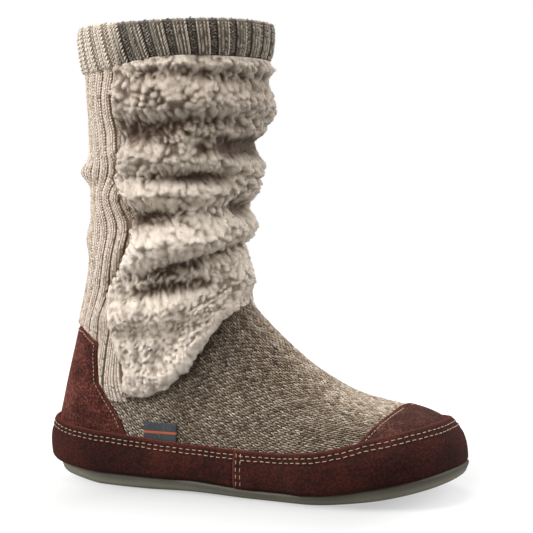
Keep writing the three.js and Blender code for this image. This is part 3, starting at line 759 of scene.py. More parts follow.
def foot_point(s, z):
    """The point of the last on a ray at a height."""
    s = np.asarray(s, float) % RAY_ROUND
    place = np.clip((z - RAY_LEVELS[0]) / LEVEL_STEP, 0, len(RAY_LEVELS) - 1.001)
    low = place.astype(int)
    column = np.clip(s / RAY_ROUND * RAY_COUNT, 0, RAY_COUNT - 0.001)
    left = column.astype(int)
    u, v = column - left, place - low
    reach = (REACHES[low, left] * (1 - u) + REACHES[low, left + 1] * u) * (1 - v)
    reach = reach + (REACHES[low + 1, left] * (1 - u) + REACHES[low + 1, left + 1] * u) * v
    start, heading = ray(s)
    plan = start + heading * reach[..., None]
    return np.concatenate([plan, np.broadcast_to(z, reach.shape)[..., None]], -1)


def foot_band(s, v, low, high):
    """Points on the last between two edge lines, v = 0 on the lower and 1 on the upper one."""
    s, v = np.broadcast_arrays(np.asarray(s, float), np.asarray(v, float))
    z = np.full(s.shape, BAND_MIDDLE)
    for _ in range(4):
        x = foot_point(s, z)[..., 0]
        z = low(x) + (high(x) - low(x)) * v
    return foot_point(s, z)


def foot_normal(s, v, low, high, s_step=0.02, v_step=0.05):
    round_foot = foot_band(s + s_step, v, low, high) - foot_band(s - s_step, v, low, high)
    upwards = foot_band(s, v + v_step, low, high) - foot_band(s, v - v_step, low, high)
    return unit(np.cross(round_foot, upwards))


def round_steps(first=0.0, last=RAY_ROUND):
    """Even ray places round the foot."""
    counts = [HEEL_STEPS_ROUND, SIDE_STEPS, TOE_STEPS_ROUND, TOE_STEPS_ROUND, SIDE_STEPS, HEEL_STEPS_ROUND]
    places = np.concatenate([i + np.arange(n) / n for i, n in enumerate(counts)])
    inside = places[(places > first + 1e-6) & (places < last - 1e-6)]
    return np.concatenate([[first], inside, [last]])


SOLE_DRAW = 2.6  # the sole draws in behind the heel and stands out before the toe
DRAW_HEEL, DRAW_TOE = (70, 120), (95, 125)
FILLS = (0.97, 0.9, 0.75, 0.55, 0.3, 0.0)  # shares of the way out, for the rings that close a face


def sole_ring(s, offset):
    """The sole's outline round the foot at this distance from the last, in plan."""
    def above(x):
        return sole_top(x) + 4
    edge = foot_band(s, 0.0, sole_top, above)
    normal = unit(foot_normal(s, 0.0, sole_top, above) * (1, 1, 0))
    inset = SOLE_DRAW * (eased(*DRAW_HEEL, -edge[..., 0]) - eased(*DRAW_TOE, edge[..., 0]))
    return edge[..., :2] + normal[..., :2] * (offset - inset)[..., None]


def slab(name, profile, faces, offset):
    """A sole layer: a profile of (inset, share between its lower and upper face, extra rise), closed across
    to the foot's middle line on both faces; faces gives the heights of the two at x."""
    s = round_steps()[:-1]
    start, _ = ray(s)

    def ring(plan, share, rise):
        low, high = faces(plan[:, 0])
        return np.concatenate([plan, (low + (high - low) * share + rise)[:, None]], -1)

    plans = [sole_ring(s, offset - inset) for inset, _, _ in profile]
    edge = [ring(plan, share, rise) for plan, (_, share, rise) in zip(plans, profile)]
    below, above = ([ring(start + (plans[at] - start) * fill, *profile[at][1:]) for fill in FILLS]
                    for at in (0, -1))
    rings = below[::-1] + edge + above
    points = np.concatenate(rings)
    low, high = faces(points[:, 0])
    lift = (points[:, 2] - low) / (high - low)
    piece = mesh_piece(name, points, grid_quads(len(rings), len(s), wrap=True), {"lift": lift})
    facing_out(piece)
    return piece


INSOLE_THICK, INSOLE_CLEARANCE = 4.0, 1.7


def insole_faces(x):
    return sole_top(x) + PIECE_GAP, sole_top(x) + PIECE_GAP + INSOLE_THICK


insole_profile = [(1.4, 0, 0), (0.3, 0.12, 0), (0, 0.45, 0), (0.4, 0.8, 0), (1.6, 1, -0.1), (4, 1, 0.1)]
insole = slab("insole", insole_profile, insole_faces, -SOCK_WALL - INSOLE_CLEARANCE)
pile_face = Finish("short_pile", Roughness=1.0, Sheen_Weight=0.4)
nap = pile_face.noise(1.6, 5, 0.65)
dress(insole, "lining", pile_face.finish(
    pile_face.ramp(nap, (0.3, "#a3927a"), (0.7, "#d9ccb8")), normal=pile_face.bump(nap, 1.2)), "insole")

# Outsole: one moulded sheet of olive-grey rubber with a rolled lower edge, cemented under the foxing. Its
# underside has a fine moulded tread.
FOXING = 2.2
HEEL_BACK, HEEL_FRONT = -0.122, -0.08  # metres along X; painted light makes the edge paler behind


def outsole_faces(x):
    """The sole's lower line, never below the table, and its top edge."""
    return np.maximum(line_height(SOLE_LINE, 1, x), 0), sole_top(x)


outsole_profile = [(9, 0, 0), (6.5, 0, 0), (4.2, 0, 0.25), (2.6, 0, 0.9), (1.6, 0, 1.9), (0.9, 0.4, 0.6),
                   (0.3, 0.66, 0), (0.0, 0.8, 0), (0.2, 0.93, 0), (0.9, 1.0, 0), (2.4, 1.0, 0)]
outsole = slab("outsole", outsole_profile, outsole_faces, FOXING + PIECE_GAP)
rubber = Finish("olive_rubber", Roughness=0.55, Specular_IOR_Level=0.35)
speck = rubber.noise(0.7, 4, 0.6)
scuff = rubber.noise(14, 4, 0.6, rubber.place((0.4, 0.4, 2.2)))
rubber_colour = rubber.mix(rubber.span(scuff, 0.45, 0.75, 0, 0.5), rubber.ramp(
    speck, (0.3, "#7c796b"), (0.7, "#908c7c")), linear("#a7a291"))
# Painted shade: the edge darkens towards its top under the foxing and is lighter at its lower lip; painted
# light makes it paler behind the heel.
painted_heel_light = rubber.span(rubber.part(rubber.place(), "X"), HEEL_BACK, HEEL_FRONT, 0.2, 1.0)
painted_shade_share = rubber.product(rubber.attribute("lift"), painted_heel_light)
rubber_colour = rubber.mix(1.0, rubber_colour, rubber.ramp(
    painted_shade_share, (0.25, "#ffffff"), (0.55, "#c4c4c4"), (0.85, "#929292")), "MULTIPLY")
tread = rubber.node("ShaderNodeTexWave", {"Vector": rubber.place(), "Scale": 55.0, "Distortion": 1.5})
upwards = rubber.part(rubber.node("ShaderNodeNewGeometry").outputs["Normal"], "Z")
tread_relief = rubber.product(tread.outputs["Fac"], rubber.span(upwards, -0.9, -0.98, 0, 1))
relief = rubber.sum(tread_relief, rubber.product(speck, 0.12))
dress(outsole, "rubber", rubber.finish(
    rubber_colour, rubber.span(scuff, 0.3, 0.7, 0.5, 0.72), rubber.bump(relief, 0.7)), "outsole")

# Toe cap and heel counter: single pieces of thick red-brown suede, cut with raw rusty edges and sewn flat on
# the sock with one row of pale thread. Their lower edges run in under the foxing.
SUEDE = 1.8
EDGE_INSET = 2.5  # from the cut edge to the row of thread
EDGE_ROUND, EDGE_FALL = 0.55, 0.45  # how far in the cut edge is rounded, and by what share of the thickness
SEAM_SINK, SEAM_WIDTH = 0.35, 0.8  # how far the thread draws the suede in
SUEDE_UNDERLAP = 9  # how far down the panels run under the foxing
RAW_STRENGTH, RAW_REACH = 1.3, 0.6
TOE_PAINTED_SHADE = (0.085, 0.125)  # metres along X


def suede_finish(name, dark, mid, light, edge):
    """Brushed suede with a short nap and worn patches, rusty where it is cut, with painted shade at the toe.
    """
    leather = Finish(name, Roughness=0.95, Specular_IOR_Level=0.2, Sheen_Weight=0.12, Sheen_Roughness=0.4)
    leather.shader.inputs["Sheen Tint"].default_value = linear("#b0705c")
    nap = leather.noise(1.5, 5, 0.72)
    brushed = leather.noise(7, 4, 0.62, leather.place((0.7, 0.7, 1.6)))
    worn = leather.noise(26, 3, 0.5)
    tone = leather.span(nap, 0.28, 0.72, -0.05, 1.05)
    forward = leather.part(leather.place(), "X")
    # Painted shade: the suede darkens towards the toe.
    for change in (leather.span(brushed, 0.3, 0.7, -0.14, 0.14), leather.span(worn, 0.35, 0.65, -0.16, 0.16),
                   leather.span(forward, *TOE_PAINTED_SHADE, 0, -0.14)):
        tone = leather.sum(tone, change)
    face = leather.ramp(tone, (0.05, dark), (0.5, mid), (0.95, light))
    raw = leather.product(leather.attribute("raw_edge"), leather.span(nap, 0.2, 0.8, 0.5, 1.25))
    colour = leather.mix(raw, face, linear(edge))
    relief = leather.sum(nap, leather.product(brushed, 0.8))
    return leather.finish(colour, leather.span(brushed, 0.3, 0.7, 0.85, 1.0), leather.bump(relief, 0.6))


def suede_panel(name, k_rows, phi_columns, past, node, tones):
    """A panel of suede on the sock, cut to an outline, with its lower edge under the foxing."""
    def outside(k, phi):
        x, z = side_view(k, phi)
        return np.maximum(past(x, z), foxing_top(x) - SUEDE_UNDERLAP - z)
    k, phi, quads = cut_patch(k_rows, phi_columns, outside)
    inside = -past(*side_view(k, phi))
    from_edge = np.clip(inside, 0, None)
    rounded = SUEDE * (1 - EDGE_FALL * np.exp(-from_edge / EDGE_ROUND) ** 2)
    drawn_in = SEAM_SINK * np.exp(-((inside - EDGE_INSET) / SEAM_WIDTH) ** 2)
    face = on_sock(k, phi, PIECE_GAP + rounded - drawn_in)
    under = on_sock(k, phi, PIECE_GAP)
    raw = np.clip(RAW_STRENGTH * np.exp(-from_edge / RAW_REACH), 0, 1)
    piece = mesh_piece(name, np.concatenate([face, under]), thick(quads, len(k)),
                       {"raw_edge": np.concatenate([raw, np.ones(len(k))])})
    facing_out(piece)
    dress(piece, "suede", suede_finish(name + "_suede", *tones), node)


# The cap's tones are darker and greyer than the counter's: painted shade and painted sheen on its
# upward-facing top.
cap_columns = np.radians(np.linspace(-104, 104, 190))
suede_panel("toe_cap", np.linspace(0.02, 3.4, 150), cap_columns, past_cap, "toe_cap",
            ("#1c0d0a", "#3d1f19", "#5f3c34", "#5b2b22"))
counter_columns = np.radians(np.linspace(84, 276, 170))
suede_panel("heel_counter", np.linspace(5.8, 11.2, 140), counter_columns, past_counter, "heel_counter",
            ("#1c0908", "#4c231e", "#7d483c", "#5f2e24"))

# Foxing: a band of the same suede round the whole foot, in a front and a rear piece, with painted shade in
# its darker tones. The front piece laps over the rear one at both side seams; its raw top edge is rusty, and
# it tucks in over the outsole.
SIDE_SEAM = 6.0
LAP, LAP_WIDTH = 1.0, 9.0
FOXING_BULGE = 1.2
BAND_HEIGHT = 20  # about, in mm
FOXING_SEWN, SEWN_DIP = (3.2, 5.7), 0.3  # the two sewn grooves below the top edge, and their depth
NO_SEAM = 50.0  # farther than a raw edge shows
RAW_FRINGE = 0.4


def foxing_foot(x):
    return sole_top(x) + PIECE_GAP


def foxing_ridge(x):
    """The band's top edge, which wavers a little as the sewing draws it in."""
    return foxing_top(x) + 0.1 * np.sin(x * 0.31) + 0.07 * np.sin(x * 0.83 + 1.2)


def foxing_lift(x):
    """How far the band lies off the sock, where it climbs on the cap and the counter."""
    return PIECE_GAP + (SUEDE + PIECE_GAP) * np.maximum(eased(35, 51, x), eased(20, 40, -x))


def foxing_face(x, v, front):
    """The band's outer side, as a distance from the sock."""
    tuck = 1 - 0.55 * np.exp(-((v / 0.05) ** 2)) - 0.35 * np.exp(-(((1 - v) / 0.025) ** 2))
    lap = front * LAP * (1 - eased(SIDE_SEAM + LAP_WIDTH, SIDE_SEAM + 2 * LAP_WIDTH, x))
    puffed = FOXING_BULGE * np.sin(np.pi * np.clip(v, 0, 1)) ** 0.8 * (1 - 0.8 * eased(90, 122, x))
    sewn = sum(SEWN_DIP * np.exp(-((1 - v) * BAND_HEIGHT - drop) ** 2) for drop in FOXING_SEWN)
    return foxing_lift(x) + FOXING * tuck + lap + puffed - sewn


def on_foxing(s, v, front, extra=0.0):
    """Points on the band's outer side, and its normals."""
    base = foot_band(s, v, foxing_foot, foxing_ridge)
    normal = foot_normal(s, v, foxing_foot, foxing_ridge)
    return base + normal * (foxing_face(base[..., 0], np.asarray(v), front) + extra)[..., None], normal


def side_place(x, inner=False):
    """The ray place of x on one side of the foot."""
    s = 1 + (x - RAY_HEEL) / (RAY_TOE - RAY_HEEL)
    return RAY_ROUND - s if inner else s


FRONT_SPAN = (side_place(SIDE_SEAM), side_place(SIDE_SEAM, True))
REAR_SPAN = (side_place(SIDE_SEAM - PIECE_GAP, True) - RAY_ROUND, side_place(SIDE_SEAM - PIECE_GAP))
# The band's tones are darker than the counter's: painted shade on the low, outward-facing band.
shaded_band_suede = suede_finish("shaded_band_suede", "#170705", "#33130e", "#4c2219", "#5a281e")


def foxing_piece(name, span, front, node):
    first, last = span
    s = round_steps(first, last)
    if first < 0:
        s = np.concatenate([round_steps(first + RAY_ROUND)[:-1] - RAY_ROUND, round_steps(0.0, last)])
    v = np.concatenate([[0, 0.02, 0.05], np.linspace(0.09, 0.9, 22), [0.93, 0.955, 0.975, 0.99, 1.0]])
    grid_s, grid_v = np.meshgrid(s, v, indexing="ij")
    face, normal = on_foxing(grid_s, grid_v, front)
    base = foot_band(grid_s, grid_v, foxing_foot, foxing_ridge)
    under = base + normal * foxing_lift(base[..., 0])[..., None]
    seam = np.full(grid_s.shape, NO_SEAM)
    if front:
        seam = np.minimum(grid_s - first, last - grid_s) * (RAY_TOE - RAY_HEEL)
    drop = (1 - grid_v) * (foxing_ridge(base[..., 0]) - foxing_foot(base[..., 0]))
    raw = np.clip(np.exp(-np.minimum(np.abs(seam), drop) / RAW_FRINGE), 0, 1)
    points = np.concatenate([face.reshape(-1, 3), under.reshape(-1, 3)])
    quads = grid_quads(len(s), len(v))
    piece = mesh_piece(name, points, thick(quads, len(s) * len(v)),
                       {"raw_edge": np.concatenate([raw.ravel(), np.ones(raw.size)])})
    facing_out(piece)
    dress(piece, "suede", shaded_band_suede, node)


foxing_piece("foxing_front", FRONT_SPAN, 1.0, "foxing_front")
foxing_piece("foxing_rear", REAR_SPAN, 0.0, "foxing_back")

# Sewing: pale thread, two rows along the foxing's top edge, two down each side seam and one row inside the
# edges of the cap and the counter. Each stitch is a short strand that dips into the suede at both ends.
THREAD = spindle("thread_stitch", [
    (-0.5, 0.7, -0.5), (-0.36, 1, 0), (0, 1, 0.15), (0.36, 1, 0), (0.5, 0.7, -0.5)], 5)
STITCH_PITCH = 4.1
STITCH = (2.5, 0.5, 0.55)
FOXING_ROWS = ((2.9, 0.0), (5.2, 0.3))  # how far below the edge, and the shift along the row in pitches
SEAM_ROWS = (2.2, 4.9)  # how far in from the side seam
THREAD_LIFT = 0.1
END_GAP = 0.02  # in ray places, from the lap to the first stitch
sewn_points, sewn_along, sewn_normals, sewn_lengths = [], [], [], []


def sew(points, normals, pitch=STITCH_PITCH, shift=0.0, share=1.0):
    """A row of stitches along a line of points."""
    length = run_length(points)
    marks = np.arange(pitch * (0.5 + shift), length[-1] - pitch * 0.3, pitch)

    def at(values, where):
        return np.stack([np.interp(where, length, values[:, i]) for i in range(3)], -1)
    sewn_points.append(at(points, marks))
    sewn_along.append(at(points, marks + 1) - at(points, marks - 1))
    sewn_normals.append(at(normals, marks))
    sewn_lengths.append(np.full(len(marks), share))


for (first, last), front in ((FRONT_SPAN, 1.0), (REAR_SPAN, 0.0)):
    s = np.linspace(first + END_GAP * front, last - END_GAP * front, 900)
    for drop, shift in FOXING_ROWS:
        base = foot_band(s, 0.9, foxing_foot, foxing_ridge)
        v = 1 - drop / (foxing_ridge(base[:, 0]) - foxing_foot(base[:, 0]))
        sew(*on_foxing(s, v, front, THREAD_LIFT), shift=shift)
for inner in (False, True):
    for inset in SEAM_ROWS:
        s = np.full(60, side_place(SIDE_SEAM + inset, inner))
        sew(*on_foxing(s, np.linspace(0.06, 0.97, 60), 1.0, THREAD_LIFT))


def place_on_side(x, z, inner=False):
    """The k and phi of places given as x and height, on one side of the boot."""
    k_line, phi_line = np.linspace(0.1, 11.5, 150), np.radians(np.linspace(4, 176, 120))
    k_grid, phi_grid = np.meshgrid(k_line, phi_line, indexing="ij")
    grid = last_point(k_grid, phi_grid)
    nearest = [((grid[..., 0] - a) ** 2 + (grid[..., 2] - b) ** 2).argmin() for a, b in zip(x, z)]
    k, phi = k_grid.ravel()[nearest], phi_grid.ravel()[nearest]
    wanted = np.stack([x, z], -1)
    step = 1e-3
    for _ in range(8):
        here = last_point(k, phi)[:, [0, 2]]
        by_k = (last_point(k + step, phi)[:, [0, 2]] - here) / step
        by_phi = (last_point(k, phi + step)[:, [0, 2]] - here) / step
        miss = wanted - here
        area = by_k[:, 0] * by_phi[:, 1] - by_k[:, 1] * by_phi[:, 0]
        k = k + np.clip((miss[:, 0] * by_phi[:, 1] - miss[:, 1] * by_phi[:, 0]) / area, -0.2, 0.2)
        phi = phi + np.clip((by_k[:, 0] * miss[:, 1] - by_k[:, 1] * miss[:, 0]) / area, -0.1, 0.1)
    return k, -phi if inner else phi


EDGE_PITCH, EDGE_STITCH = 2.5, 0.66
cap_z = np.linspace(36, 51, 60)
counter_z = np.linspace(36, 86, 90)
counter_x = np.linspace(-88, -112, 50)
rows = [(np.interp(cap_z, *CAP_EDGE.T) + EDGE_INSET / CAP_SLANT, cap_z),
        (np.concatenate([np.interp(counter_z, *COUNTER_EDGE.T) - EDGE_INSET, counter_x]),
         np.concatenate([counter_z, np.interp(counter_x, *COUNTER_TOP.T) - EDGE_INSET]))]
for inner in (False, True):
    for x, z in rows:
        k, phi = place_on_side(x, z, inner)
        clear = z > foxing_top(x) + 0.5
        k, phi = k[clear], phi[clear]
        sew(on_sock(k, phi, PIECE_GAP + SUEDE), last_normal(k, phi), EDGE_PITCH, share=EDGE_STITCH)
cotton = Finish("pale_thread", Roughness=0.8, Sheen_Weight=0.15)
twist = cotton.node("ShaderNodeTexWave", {"Vector": cotton.place((1, 1, 1.4)), "Scale": 900.0}).outputs["Fac"]
pale_thread = cotton.finish(
    cotton.ramp(twist, (0.1, "#957e61"), (0.7, "#d6c5a9")), normal=cotton.bump(twist, 0.15))
sewn_points, sewn_along, sewn_normals, sewn_lengths = map(
    np.concatenate, (sewn_points, sewn_along, sewn_normals, sewn_lengths))
sizes = np.stack([sewn_lengths, np.ones(len(sewn_lengths)), np.ones(len(sewn_lengths))], -1)
thread = scatter("sewing_thread", THREAD, sewn_points, sewn_along, sewn_normals, sizes,
                 np.full(len(sewn_points), 0.5), pale_thread, STITCH)
dress(thread, "suede", None)
bpy.data.objects.remove(THREAD)

# Label tab: a small folded loop of plain slate woven tape with one orange thread line, caught under the top
# edge of the rear foxing on the outer side.
LABEL_FROM, LABEL_TO, LABEL_TOP = -55.0, -33.0, 41.0
LABEL_THICK, LABEL_GAP, LABEL_RIPPLE = 0.9, 0.25, 0.25
LABEL_COLUMNS, LABEL_ROWS = 34, 20
LABEL_FOOT, LABEL_UNDERLAP = 30, 2.0
STRIPE = ((0.40, "#000000"), (0.42, "#ffffff"), (0.52, "#ffffff"), (0.54, "#000000"))  # across the tape
label_x = np.linspace(LABEL_FROM, LABEL_TO, LABEL_COLUMNS)
s, v = np.meshgrid(side_place(label_x), np.linspace(0, 1, LABEL_ROWS), indexing="ij")


def label_foot(x):
    return foxing_top(x) - LABEL_UNDERLAP


def label_top(x):
    return np.full(np.shape(x), LABEL_TOP)


base = foot_band(s, v, label_foot, label_top)
normal = foot_normal(s, v, label_foot, label_top)
ripple = LABEL_RIPPLE * np.sin((base[..., 0] - LABEL_FROM) * 0.4)
lift = PIECE_GAP + LABEL_GAP + LABEL_THICK * (1 - 0.5 * v ** 8) + ripple
points = np.concatenate([(base + normal * lift[..., None]).reshape(-1, 3),
                         (base + normal * (PIECE_GAP + 0.1)).reshape(-1, 3)])
across_tape = (base[..., 2].ravel() - LABEL_FOOT) / (LABEL_TOP - LABEL_FOOT)
label = mesh_piece("label_tab", points, thick(grid_quads(LABEL_COLUMNS, LABEL_ROWS), s.size),
                   {"across": np.tile(across_tape, 2)})
facing_out(label)
tape = Finish("slate_tape", Roughness=0.85, Sheen_Weight=0.1)
weft, warp = (tape.node("ShaderNodeTexWave", {"Vector": tape.place(), "Scale": threads}, bands_direction=axis)
              for axis, threads in (("Z", 700.0), ("X", 550.0)))
weave = tape.product(weft.outputs["Fac"], warp.outputs["Fac"])
slate = tape.ramp(weave, (0.0, "#2b2f33"), (0.8, "#4d5257"))
stripe = tape.ramp(tape.attribute("across"), *STRIPE)
stripe_share = tape.node("ShaderNodeRGBToBW", {0: stripe}).outputs[0]
dress(label, "label", tape.finish(
    tape.mix(stripe_share, slate, linear("#b4552c")), normal=tape.bump(weave, 0.2)), "label_tab")

# Shaft fleece: deep curled pile on a knitted back, sewn round the front and both sides of the shaft and down
# to a point behind the instep. It slouches in soft folds; the pile is pressed flat and brown in the creases,
# with painted shade there too, between its curls and under the cuff.
PILE = 6.0
PILE_RIDGE_SHARE, PILE_CREASE_SHARE = 0.85, 1.15
PILE_DROOP, TUFT_DROOP = 0.45, 0.35
PILE_EDGES = ((0.5, 6.0), (0.4, 8.0), (0.55, 4.0))  # back, lower, upper: share left at the edge, reach
PILE_SOFTNESS = 0.7
SOFT_LIGHT = (1.6, 1.6, 1.6)  # how much the cloth's own normal counts against the curls'
DEEP_CREASE = 5.5
CUFF_DROP, CUFF_LIFT = 5.0, 3.2


def cuff_hem(phi):
    """The height of the cuff's hem, which hangs lower at the back."""
    return CUFF_FOOT + CUFF_LIFT * eased(-0.3, 0.5, np.cos(phi)) - CUFF_DROP * eased(0.2, -0.75, np.cos(phi))


def inside_edges(k, phi):
    """How far inside the fleece's back, lower and upper edges."""
    x, z = side_view(k, phi)
    return x - fleece_back(z), z - np.interp(x, *FLEECE_LOWER.T), cuff_hem(phi) - z


def outside_fleece(k, phi):
    """How far past the fleece's ragged edges; it runs up a little way under the cuff."""
    back, lower, upper = inside_edges(k, phi)
    z = last_point(k, phi)[..., 2]
    ragged = 0.8 * np.sin(z * 1.15 + 3 * np.sin(phi * 9)) + 0.7 * np.sin(phi * 47 + z * 0.3)
    return np.maximum(ragged * (upper > 8) - np.minimum(back, lower), -1.2 - upper)


def pile_crease(phi, z):
    """1 at the bottom of a deep crease, 0 on flat cloth and ridges."""
    return np.clip(-fold_depth(phi, z) / DEEP_CREASE, 0, 1)


SWELL = 0.9
SWELL_WAVES = np.random.default_rng(11).normal(0, 0.42, (14, 3))


def swells(point):
    """Soft uneven bumps of the pile, about a finger apart, from -1 to 1."""
    waves = np.sin(point @ SWELL_WAVES.T + np.arange(len(SWELL_WAVES)) * 2.4)
    return np.clip(waves.sum(-1) / 3.2, -1, 1.3)


def on_fleece(k, phi, tuft):
    """Points on the pile: it thins towards its edges, most in front, and its rolls droop over the creases."""
    base = last_point(k, phi)
    fold = fold_depth(phi, base[..., 2])
    insides = inside_edges(k, phi)
    loft = np.ones(np.shape(fold))
    for inside, (share, reach) in zip(insides, PILE_EDGES):
        loft = np.minimum(loft, 1 - (1 - share) * (1 - np.clip(inside / reach, 0, 1)) ** 2)
    loft = loft * (1 - 0.65 * eased(0.7, 1.0, np.cos(phi)) * eased(16, 1, insides[1]))
    share = np.where(fold > 0, PILE_RIDGE_SHARE, PILE_CREASE_SHARE)
    height = np.maximum(PILE + share * fold, 0.8) + SWELL * swells(base) + tuft
    point = on_sock(k, phi, PIECE_GAP + np.maximum(height * loft, 0.3))
    free = eased(0, 10, np.minimum(insides[0], insides[1])) * eased(2, 14, insides[2])
    point[..., 2] -= (PILE_DROOP * np.clip(fold, 0, None) + TUFT_DROOP * np.clip(tuft, 0, None)) * free
    return point


def stitch_frame(surface, k, phi, slant, step=0.01):
    """Heading, normal and the size of one unit of k and of phi on a surface."""
    along = surface(k + step, phi, 0.0) - surface(k - step, phi, 0.0)
    across = surface(k, phi + step, 0.0) - surface(k, phi - step, 0.0)
    normal = unit(np.cross(along, across))
    size_k, size_phi = (np.linalg.norm(a, axis=-1) / (2 * step) for a in (along, across))
    along, across = unit(along), unit(across)
    return along * np.cos(slant)[:, None] + across * np.sin(slant)[:, None], normal, size_k, size_phi


def rows_up(k_marks, degrees, pitch):
    """Sections an even pitch apart up the boot, measured at one angle round it."""
    marks = even_steps(last_point(k_marks, np.radians(degrees)), pitch)
    return np.interp(marks, np.arange(len(k_marks)), k_marks)


TUFT_SPACING, TUFT_SCATTER = 2.3, 0.45
TUFT_BLEND, TUFT_LEVEL = 4.0, 1.4
PILE_RADIUS = 50
PILE_SPAN = 138  # degrees to either side of the front
TUFT_KINDS = np.array([  # half length, half width, height, spacing
    [2.9, 2.5, 2.7, 3.8],  # round curls of the upper shaft
    [2.7, 1.75, 2.0, 2.8],  # long curls towards the lower end
    [3.0, 1.2, 1.4, 2.5],  # pressed pile in the creases
])
pile_marks = np.linspace(6, 15.4, 600)
tuft_rows = rows_up(pile_marks, 80, TUFT_SPACING)
tuft_columns = np.radians(np.arange(-PILE_SPAN, PILE_SPAN, math.degrees(TUFT_SPACING / PILE_RADIUS)))
k, phi = (a.ravel() for a in np.meshgrid(tuft_rows, tuft_columns, indexing="ij"))
row_step = np.interp(k, tuft_rows[:-1], np.diff(tuft_rows))
column_step = tuft_columns[1] - tuft_columns[0]
k = k + rng.uniform(-TUFT_SCATTER, TUFT_SCATTER, len(k)) * row_step
phi = phi + rng.uniform(-TUFT_SCATTER, TUFT_SCATTER, len(phi)) * column_step
base = last_point(k, phi)
long_curled = eased(150, 108, base[:, 2])
pressed = pile_crease(phi, base[:, 2])
kind = np.stack([(1 - long_curled) * (1 - pressed), long_curled * (1 - pressed), pressed], -1) @ TUFT_KINDS
combed = 1.1 * swells(base * 0.45 + 30) * (1 - long_curled) - long_curled
combed = combed + rng.normal(0, 0.35 + 0.3 * long_curled, len(k))
heading, normal, size_k, size_phi = stitch_frame(on_fleece, k, phi, combed)
crowding = size_k * row_step * size_phi * column_step / kind[:, 3] ** 2
kept = rng.uniform(size=len(k)) < crowding
tuft_centre, tuft_heading, tuft_across = base[kept], heading[kept], np.cross(normal, heading)[kept]
tuft_size = kind[kept, :3] * np.clip(rng.normal(1, 0.2, (kept.sum(), 3)), 0.5, 1.6)
tuft_places = kdtree.KDTree(len(tuft_centre))
for i, centre in enumerate(tuft_centre):
    tuft_places.insert(centre, i)
tuft_places.balance()


def tuft_heights(point):
    """The height of the curls at points of the last: each a dome, blended into its neighbours."""
    near = np.array([[i for _, i, _ in tuft_places.find_n(p, 9)] for p in point])
    away = point[:, None] - tuft_centre[near]
    lengthwise = (away * tuft_heading[near]).sum(-1) / tuft_size[near, 0]
    crosswise = (away * tuft_across[near]).sum(-1) / tuft_size[near, 1]
    domes = np.maximum(tuft_size[near, 2] * (1 - lengthwise ** 2 - crosswise ** 2), -0.3)
    return np.log(np.exp(domes * TUFT_BLEND).sum(1)) / TUFT_BLEND - TUFT_LEVEL


def pile_shade(phi, height, crease, tuft, upwards):
    """The pile's tone, with painted light and shade: paler low down, under its rolls and on the curls'
    crests, brown in creases.
    """
    own = np.clip(tuft, -1.2, 1.2)
    low = eased(240, 110, height)
    # Painted shade darkens the top under the cuff and the hollows between curls, painted light the crests;
    # the creases, pressed flat and brown, get painted shade as well.
    tone = 0.32 + 0.39 * low + (0.16 + 0.07 * low) * own - 0.86 * crease ** 1.5 * (1 - 0.35 * own)
    tone = tone + 0.1 * eased(238, 252, height) + 0.06 * eased(96, 80, height)
    # Painted shade on upward faces and low in front.
    front_shadow = eased(0.6, 1, np.cos(phi)) * eased(150, 118, height)
    return tone - 0.22 * np.clip(upwards, 0, 1) - 0.14 * front_shadow


pile_wool = Finish("cream_pile", Roughness=1.0, Sheen_Weight=0.3, Sheen_Roughness=0.6)
pile_fluff = pile_wool.noise(0.6, 5, 0.75)
pile_tone = pile_wool.sum(pile_wool.attribute("shade"), pile_wool.span(pile_fluff, 0.3, 0.7, -0.13, 0.13))
cloth_lie = pile_wool.node("ShaderNodeAttribute", attribute_name="lie").outputs["Vector"]
curl_lie = pile_wool.node("ShaderNodeNewGeometry").outputs["Normal"]
soft_lie = pile_wool.vector("NORMALIZE", pile_wool.vector("MULTIPLY_ADD", cloth_lie, SOFT_LIGHT, curl_lie))
cream_pile = pile_wool.finish(pile_wool.ramp(
    pile_tone, (0.0, "#543c28"), (0.25, "#948371"), (0.5, "#cabcac"), (0.75, "#ebdccb"), (1.0, "#fbf1e5")),
    normal=pile_wool.bump(pile_fluff, 0.6, over=soft_lie))

fleece_columns = np.radians(np.linspace(-136, 136, 440))
fleece_rows = rows_up(pile_marks, 55, 0.8)
k, phi, quads = cut_patch(fleece_rows, fleece_columns, outside_fleece)
base = last_point(k, phi)
tuft = tuft_heights(base)
cloth_normal = stitch_frame(on_fleece, k, phi, np.zeros(len(k)))[1]
shade = pile_shade(phi, base[:, 2], pile_crease(phi, base[:, 2]), tuft, cloth_normal[:, 2])
face = on_fleece(k, phi, tuft)
rim = open_edges(quads)
rim_points = np.unique(rim)
skirt = {int(p): len(k) + i for i, p in enumerate(rim_points)}
sides = np.array([[b, a, skirt[int(a)], skirt[int(b)]] for a, b in rim])
fleece = mesh_piece("shaft_fleece", np.concatenate([face, on_sock(k, phi, 0.0)[rim_points]]),
                    np.concatenate([quads, sides]), {"shade": np.concatenate([shade, shade[rim_points]])})
low_down = eased(240, 110, np.concatenate([base, base[rim_points]])[:, 2])
soft_normals = np.concatenate([cloth_normal, cloth_normal[rim_points]])
soft_normals = (PILE_SOFTNESS * (1 + 0.9 * low_down))[:, None] * soft_normals
soft_light = fleece.data.attributes.new("lie", "FLOAT_VECTOR", "POINT")
soft_light.data.foreach_set("vector", soft_normals.astype(np.float32).ravel())
dress(fleece, "fleece", cream_pile, "shaft_fleece")

